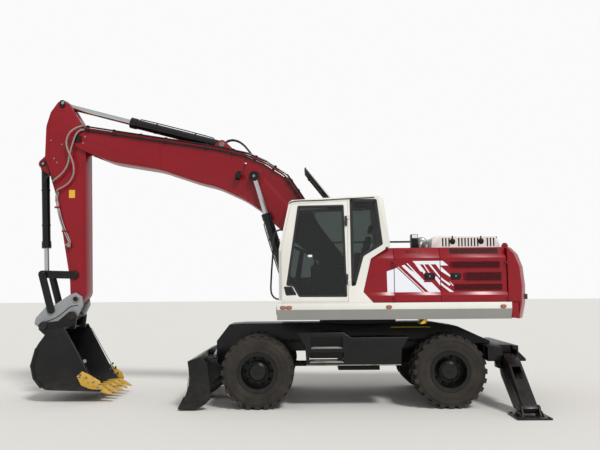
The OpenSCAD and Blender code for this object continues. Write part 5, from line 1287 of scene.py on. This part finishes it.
def arm_hoses_and_pipes():
    for name, start, route in (("hose_upper", TIP_END, HOSE_A), ("hose_lower", SIDE_END, HOSE_B)):
        spots = [at(start[0] + p[0], start[1] + p[1], start[2] + p[2]) for p in route]
        hose = bent_tube(spots, 14, resolution=4)
        finish_piece(hose, name, None, SLEEVE, smooth=60)
        if name == "hose_upper":
            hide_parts("arm_hoses")
        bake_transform(hose)
        hose_end(spots[0] - ALONG * 0.004, (spots[1] - spots[0]).normalized(), name + "_end", "boom")
    # Fittings on the arm's ports, the pipe down to the valve and its connections
    for x, z, name in ((4945, 3394, "upper"), (5020, 3549, "lower")):
        spot = at(x, ARM_FACE + 30, z)
        collar = disc_on(spot, -ACROSS, [(-14, 0.1), (-14, 19), (2, 21), (2, 0.1)], 20)
        finish_piece(collar, "port_collar_" + name, "arm", SHEET, smooth=35)
    pipe = bent_tube(side_line([(4950, 3372), (4966, 3330), (4976, 3260), (4962, 3180), (4869, 2821), (4752, 2560),
                                (4735, 2528)], ARM_FACE + 20), 10)
    second = bent_tube(side_line([(4932, 3372), (4940, 3320), (4946, 3250), (4930, 3170), (4838, 2821), (4724, 2560),
                                  (4712, 2528)], ARM_FACE + 20), 10)
    clip = block((4900, 4990), (ARM_FACE, ARM_FACE + 34), (3100, 3130), 3)
    low_clip = block((4760, 4860), (ARM_FACE, ARM_FACE + 34), (2700, 2730), 3)
    finish_piece(joined([pipe, second]), "arm_pipes", "arm", SHEET, smooth=50)
    finish_piece(joined([clip, low_clip]), "arm_pipe_clips", "arm", RED, smooth=35)
    silver = round_bar(at(4971, ARM_FACE + 20, 3318), at(4970, ARM_FACE + 20, 3210), 16, sides=8, bevel=2)
    valve = [block((4696, 4754), (ARM_FACE + 60, ARM_FACE + 70), (2448, 2522), 4)]
    valve += [round_bar(at(4725, ARM_FACE + 66, z), at(4725, ARM_FACE + 92, z), 15, sides=6, bevel=2)
              for z in (2466, 2504)]
    valve += [round_bar(at(4756, ARM_FACE + 36, 2486), at(4800, ARM_FACE + 36, 2486), 14, sides=12, bevel=2)]
    finish_piece(joined([silver] + valve), "arm_valve_fittings", "arm", SHEET, smooth=35)
    # Short hose from the lower port to the bucket cylinder
    spots = [at(5020, ARM_FACE + 6, 3572), at(5024, ARM_FACE + 2, 3610), at(5060, 84, 3650), at(5120, 60, 3660),
             at(5180, 34, 3620), at(5208, 14, 3560), at(5214, 4, 3530)]
    hose = bent_tube(spots, 13)
    finish_piece(hose, "hose_to_bucket_cylinder", None, HOSE, smooth=60)
    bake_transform(hose)
    bracket = block((5180, 5250), (-20, 8), (3470, 3532), 5)
    finish_piece(bracket, "bucket_cylinder_port", "bucket_barrel", BLACK_GLOSS, smooth=35)


def arm_and_boom_plates():
    """The arm's blank yellow label, bolts and seams, and the boom's seams and hose arc."""
    label = rounded_plate([(4664, 3272), (4764, 3272), (4764, 3404), (4664, 3404)], ARM_FACE, ARM_FACE + 0.8, 6)
    finish_piece(label, "blank_label", "arm", YELLOW_VINYL)
    bolts("arm_bolts", "arm", side_line([(5088, 4245), (4902, 4174), (5030, 3938), (4978, 3870)], ARM_FACE), ACROSS,
          9, 7)
    bead("arm_seam_head", "arm", side_line([(5043, 4765), (5001, 4773), (4930, 4760), (4847, 4729), (4676, 4624)],
                                           ARM_FACE), 4, twin=BOOM_MIRROR)
    bead("arm_seam_outer", "arm", side_line([(5117, 4680), (5125, 4489), (5120, 4236), (5108, 3980), (5020, 3640),
                                             (4930, 3330), (4820, 2770), (4760, 2440), (4704, 2120)], ARM_FACE), 5,
         twin=BOOM_MIRROR)
    bead("arm_seam_inner", "arm", side_line([(4486, 1800), (4500, 2400), (4514, 3000), (4540, 3900)], ARM_FACE), 5,
         twin=BOOM_MIRROR)
    # Seams of the boom's plates
    low = [(x, z + 26) for x, z in BOOM_LOW[2:9]]
    bead("boom_seam_low", "boom", side_line([(330, 2010), (760, 2352)] + low, BOOM_FACE), 5, twin=BOOM_MIRROR)
    across = (((3260, 4205), (3230, 3760)), ((1840, 3930), (1880, 3270)), ((960, 3250), (1270, 2800)))
    for i, (top, foot) in enumerate(across):
        half_way = tuple((Vector(top) + Vector(foot)) / 2)
        bead("boom_seam_%d" % i, "boom", side_line([top, half_way, foot], BOOM_FACE), 5, twin=BOOM_MIRROR)
    # Black hoses in an arc over the arm cylinder's foot
    arc = bent_tube([at(2189, 40, 4110), at(2170, 20, 4190), at(2100, 0, 4236), at(1990, -10, 4232),
                     at(1880, -20, 4170), at(1799, -30, 4082), at(1745, -35, 4010), at(1720, -40, 3945)], 15)
    second = copied(arc, Matrix.Translation((0, -0.05, 0)))
    finish_piece(joined([arc, second]), "boom_hose_arc", "boom", HOSE, smooth=60)


def pin_caps(name, body, spot, out, r, high, material):
    """Caps on both ends of a pin, out millimetres from the boom's middle."""
    piece = disc_on(side_line([spot], BOOM_Y + out)[0], ACROSS,
                    [(-2, 0.1), (-2, r), (high - 3, r), (high, r - 4), (high, 0.1)], 36)
    finish_piece(both_sides(piece), name, body, material, smooth=35)


def pins():
    """Caps, keeper plates and the ring round the boom cylinders' boss."""
    pin_caps("boom_cylinder_plugs", "boom", BOOM_CYLINDER_EYE, 344, 22, 6, SHEET)
    ring = lathe([(-1, 95), (-1, 152), (9, 150), (12, 146), (12, 95), (-1, 95)],
                 side_line([BOOM_CYLINDER_EYE], BOOM_FACE)[0], ACROSS, 56)
    finish_piece(both_sides(ring), "boss_rings", "boom", RED, smooth=35)
    pin_caps("boom_cylinder_caps", "boom", BOOM_CYLINDER_EYE, 334, 84, 10, BLACK_GLOSS)
    pin_caps("boom_foot_caps", "boom", (80, 1880), 250, 62, 10, BLACK_GLOSS)
    pin_caps("arm_cylinder_foot_caps", "boom", ARM_CYLINDER_FOOT, 125, 46, 9, SHEET)
    head = rounded_plate([(4860, 4800), (4962, 4800), (4962, 4932), (4860, 4932)], ARM_FACE, ARM_FACE + 12, 40, 3)
    finish_piece(both_sides(head), "arm_head_keepers", "arm", BLACK_GLOSS, smooth=35)
    pin_caps("arm_head_caps", "arm", (4903, 4884), 177, 27, 8, SHEET)
    pin_caps("bucket_cylinder_caps", "arm", BUCKET_CYLINDER_FOOT, 110, 46, 12, BLACK_GLOSS)
    pin_caps("bucket_cylinder_plugs", "arm", BUCKET_CYLINDER_FOOT, 122, 22, 6, SHEET)
    pin_caps("lever_caps", "bucket_lever", (4630, 1993), 196, 46, 9, BLACK_GLOSS)
    pin_caps("link_caps", "bucket_link", BUCKET_CYLINDER_EYE, 235, 44, 9, BLACK_GLOSS)
    keeper = rounded_plate([(4566, 4206), (4684, 4206), (4684, 4314), (4566, 4314)], BOOM_Y + 222, BOOM_Y + 232, 14, 3)
    finish_piece(both_sides(keeper), "boom_tip_keepers", "arm", BLACK_GLOSS, smooth=35)
    bolts("boom_tip_bolts", "boom", side_line([(4500, 4292), (4530, 4186)], BOOM_FACE), ACROSS, 10, 8)


def work_lamp():
    """Lens, rim and cable with its white clip."""
    lamp = at(1972, WORK_LAMP_Y, 3585)
    finish_piece(lathe([(-3, 50), (-3, 60), (8, 60), (10, 56), (10, 50), (-3, 50)], lamp, ALONG, 36), "work_lamp_rim",
                 "boom", BLACK_GLOSS, smooth=35)
    finish_piece(lathe([(-1, 0.1), (-1, 52), (3, 52), (7, 28), (8, 0.1)], lamp, ALONG, 36), "work_lamp_lens", "boom",
                 CLEAR_LENS, smooth=50)
    cable = bent_tube([at(1902, WORK_LAMP_Y, 3600), at(1880, BOOM_Y + 270, 3640), at(1860, BOOM_Y + 226, 3690),
                       at(1836, BOOM_Y + 218, 3770), at(1812, BOOM_Y + 220, 3850), at(1800, BOOM_Y + 224, 3900)], 5)
    finish_piece(cable, "work_lamp_cable", "boom", HOSE, smooth=60)
    finish_piece(block((1800, 1834), (BOOM_Y + 210, BOOM_Y + 230), (3800, 3822), 3), "cable_clip", "boom", WHITE,
                 smooth=35)


def cylinders():
    shorter_barrel()
    dress_cylinder("arm_cylinder_trim", "arm_barrel", ARM_CYLINDER_FOOT, ARM_CYLINDER_EYE, BOOM_Y, 80,
                   BARREL_REACH - BARREL_CUT, 0)
    dress_cylinder("bucket_cylinder_trim", "bucket_barrel", BUCKET_CYLINDER_FOOT, BUCKET_CYLINDER_EYE, BOOM_Y, 66,
                   1412, 90, 395)
    left = dress_cylinder("boom_cylinder_trim", "boom_barrels", (1020, 1480), BOOM_CYLINDER_EYE, BOOM_CYLINDER_Y, 70,
                          1549, 180, 420)
    twin = copied(left, BOOM_MIRROR)
    finish_piece(twin, "boom_cylinder_trim_right", "boom_barrels", BLACK_GLOSS)


COUPLER_FACE, BUCKET_HALF, BUCKET_WALL = BOOM_Y + 196, 600, 25
CUTTER_PLATE = 28
CUTTER_BOLTS = [(4360, 432), (4262, 388), (4150, 318), (4080, 240)]
INNER_BOLTS = [(4242, 451), (4196, 478), (4146, 417), (4235, 383), (4171, 314), (4107, 321)]


def coupler():
    """The curved seam of its side plates, and its pins' rings and ends."""
    # The link passes 4 mm outside the coupler's plate, so the seam is drawn flat
    seam = bent_tube(side_line([(5210, 1180), (5060, 1240), (4900, 1310), (4780, 1400), (4688, 1472), (4560, 1500)],
                               COUPLER_FACE), 8)
    for vertex in seam.data.vertices:
        vertex.co.y = COUPLER_FACE / 1000 + 0.15 * (vertex.co.y - COUPLER_FACE / 1000)
    finish_piece(both_sides(seam), "coupler_seam", "bucket", BLACK, smooth=40)
    for name, x, z, radius in (("coupler_ring_front", 4604, 1600, 62), ("coupler_ring_link", 4998, 1427, 54)):
        ring = lathe([(-1, 0.1), (-1, radius), (9, radius), (12, radius - 5), (12, radius - 22), (8, radius - 24),
                      (8, 0.1)], at(x, COUPLER_FACE, z), ACROSS, 40)
        finish_piece(both_sides(ring), name, "bucket", SHEET, smooth=35)
        pin = lathe([(0, 0.1), (0, radius - 24), (10, radius - 24), (13, radius - 28), (13, 16), (22, 14), (24, 10),
                     (24, 0.1)], at(x, COUPLER_FACE + 2, z), ACROSS, 32)
        finish_piece(both_sides(pin), name + "_pin", "bucket", BLACK_GLOSS, smooth=35)


def bucket():
    """Edge strips, heel plates, bolts, wear straps, pins' rings and the teeth's adapters."""
    face = BOOM_Y + BUCKET_HALF
    strip = cut_plate([(4300, 480), (4640, 1108), (4700, 1096), (4350, 440)], face, face + 8, bevel=1.5)
    back = cut_plate([(5040, 820), (5112, 573), (5066, 392), (4940, 250), (4990, 225), (5110, 373), (5157, 573),
                      (5085, 850)], face, face + 8, bevel=1.5)
    finish_piece(both_sides(joined([strip, back])), "bucket_strips", "bucket", BUCKET_BLACK, smooth=35)
    bead("bucket_lines", "bucket", side_line([(4176, 380), (4330, 640), (4480, 900), (4590, 1090)], face), 5,
         BUCKET_BLACK, BOOM_MIRROR)
    for s, name in SIDES:
        spots = side_line(CUTTER_BOLTS, BOOM_Y + s * (BUCKET_HALF + CUTTER_PLATE))
        bolts("cutter_bolts_" + name, "bucket", spots, ACROSS * s, 15, 10)
    inner = BOOM_Y - BUCKET_HALF + BUCKET_WALL
    bolts("bucket_inner_bolts", "bucket", side_line(INNER_BOLTS, inner), ACROSS, 13, 10)
    bolts("bucket_side_bolt", "bucket", [at(4300, face, 640)], ACROSS, 20, 14)
    belt = cut_plate([(4140, 172), (4930, 200), (5095, 378), (5142, 573), (5072, 850), (5080, 852), (5152, 573),
                      (5104, 370), (4937, 192), (4140, 164)], BOOM_Y - 540, BOOM_Y - 480, bevel=0)
    finish_piece(repeated(belt, [(0, 340 * i, 0) for i in range(1, 4)]), "bucket_wear_straps", "bucket", BUCKET_BLACK,
                 smooth=30)
    for i, spot in enumerate(((4640, 1330), (5105, 1170))):
        ring = lathe([(-2, 0.1), (-2, 66), (10, 66), (14, 60), (14, 44), (10, 42), (10, 0.1)],
                     side_line([spot], BOOM_Y + 263)[0], ACROSS, 36)
        finish_piece(both_sides(ring), "bucket_pin_ring_%d" % i, "bucket", CASTING, smooth=35)
    # Adapters on the lip behind the teeth, with their pins
    adapters = []
    for i in range(5):
        y = BOOM_Y - 518 + 1036 * i / 4
        adapters.append(cut_plate([(4290, 196), (4240, 214), (4120, 222), (4100, 200), (4140, 168), (4270, 170)],
                                  y - 44, y + 44, bevel=6))
        adapters.append(round_bar(at(4040, y - 62, 176), at(4040, y + 62, 176), 13, bevel=2))
    finish_piece(joined(adapters), "tooth_adapters", "bucket", YELLOW, smooth=35)


# Studio

def studio():
    floor_material, tree, shader, _ = new_material("studio_floor")
    fill(tree, shader, {"Base Color": linear("#dad8d3"), "Roughness": 0.9})
    bpy.ops.mesh.primitive_plane_add(size=160, location=(0, 0, 0))
    floor = bpy.context.object
    floor.name = "studio_floor"
    floor.data.materials.append(floor_material)
    world = bpy.data.worlds.new("studio_world")
    bpy.context.scene.world = world
    world.use_nodes = True
    tree = world.node_tree
    tree.nodes.clear()
    light_path = put(tree, "ShaderNodeLightPath")
    camera_or_glass = larger(tree, light_path.outputs["Is Camera Ray"], light_path.outputs["Is Transmission Ray"])
    strength = put(tree, "ShaderNodeMapRange", {0: camera_or_glass, 1: 0.0, 2: 1.0, 3: 0.62, 4: 0.96}).outputs[0]
    sky = put(tree, "ShaderNodeBackground", {"Color": (1.0, 1.0, 1.0, 1.0), "Strength": strength})
    put(tree, "ShaderNodeOutputWorld", {"Surface": sky.outputs[0]})
    bpy.ops.object.light_add(type="SUN", location=(-4, 8, 12))
    sun = bpy.context.object
    sun.data.energy = 2.1
    sun.data.angle = math.radians(12)
    sun.rotation_euler = Vector((0.35, -0.62, -0.75)).to_track_quat("-Z", "Y").to_euler()


camera()
coat_nodes()
for part in (wheels, blade, side_boxes, chassis_frame, axles, outriggers, skirts_and_lamps, muffler_and_box,
             counterweight_and_roof, tanks, engine_side, engine_cover, cab_outside, cab_roof, driver_seat, cab_controls,
             arm_hoses_and_pipes, arm_and_boom_plates, pins, work_lamp, cylinders, coupler, bucket):
    part()
studio()

scene = bpy.context.scene
scene.view_settings.view_transform = "Standard"
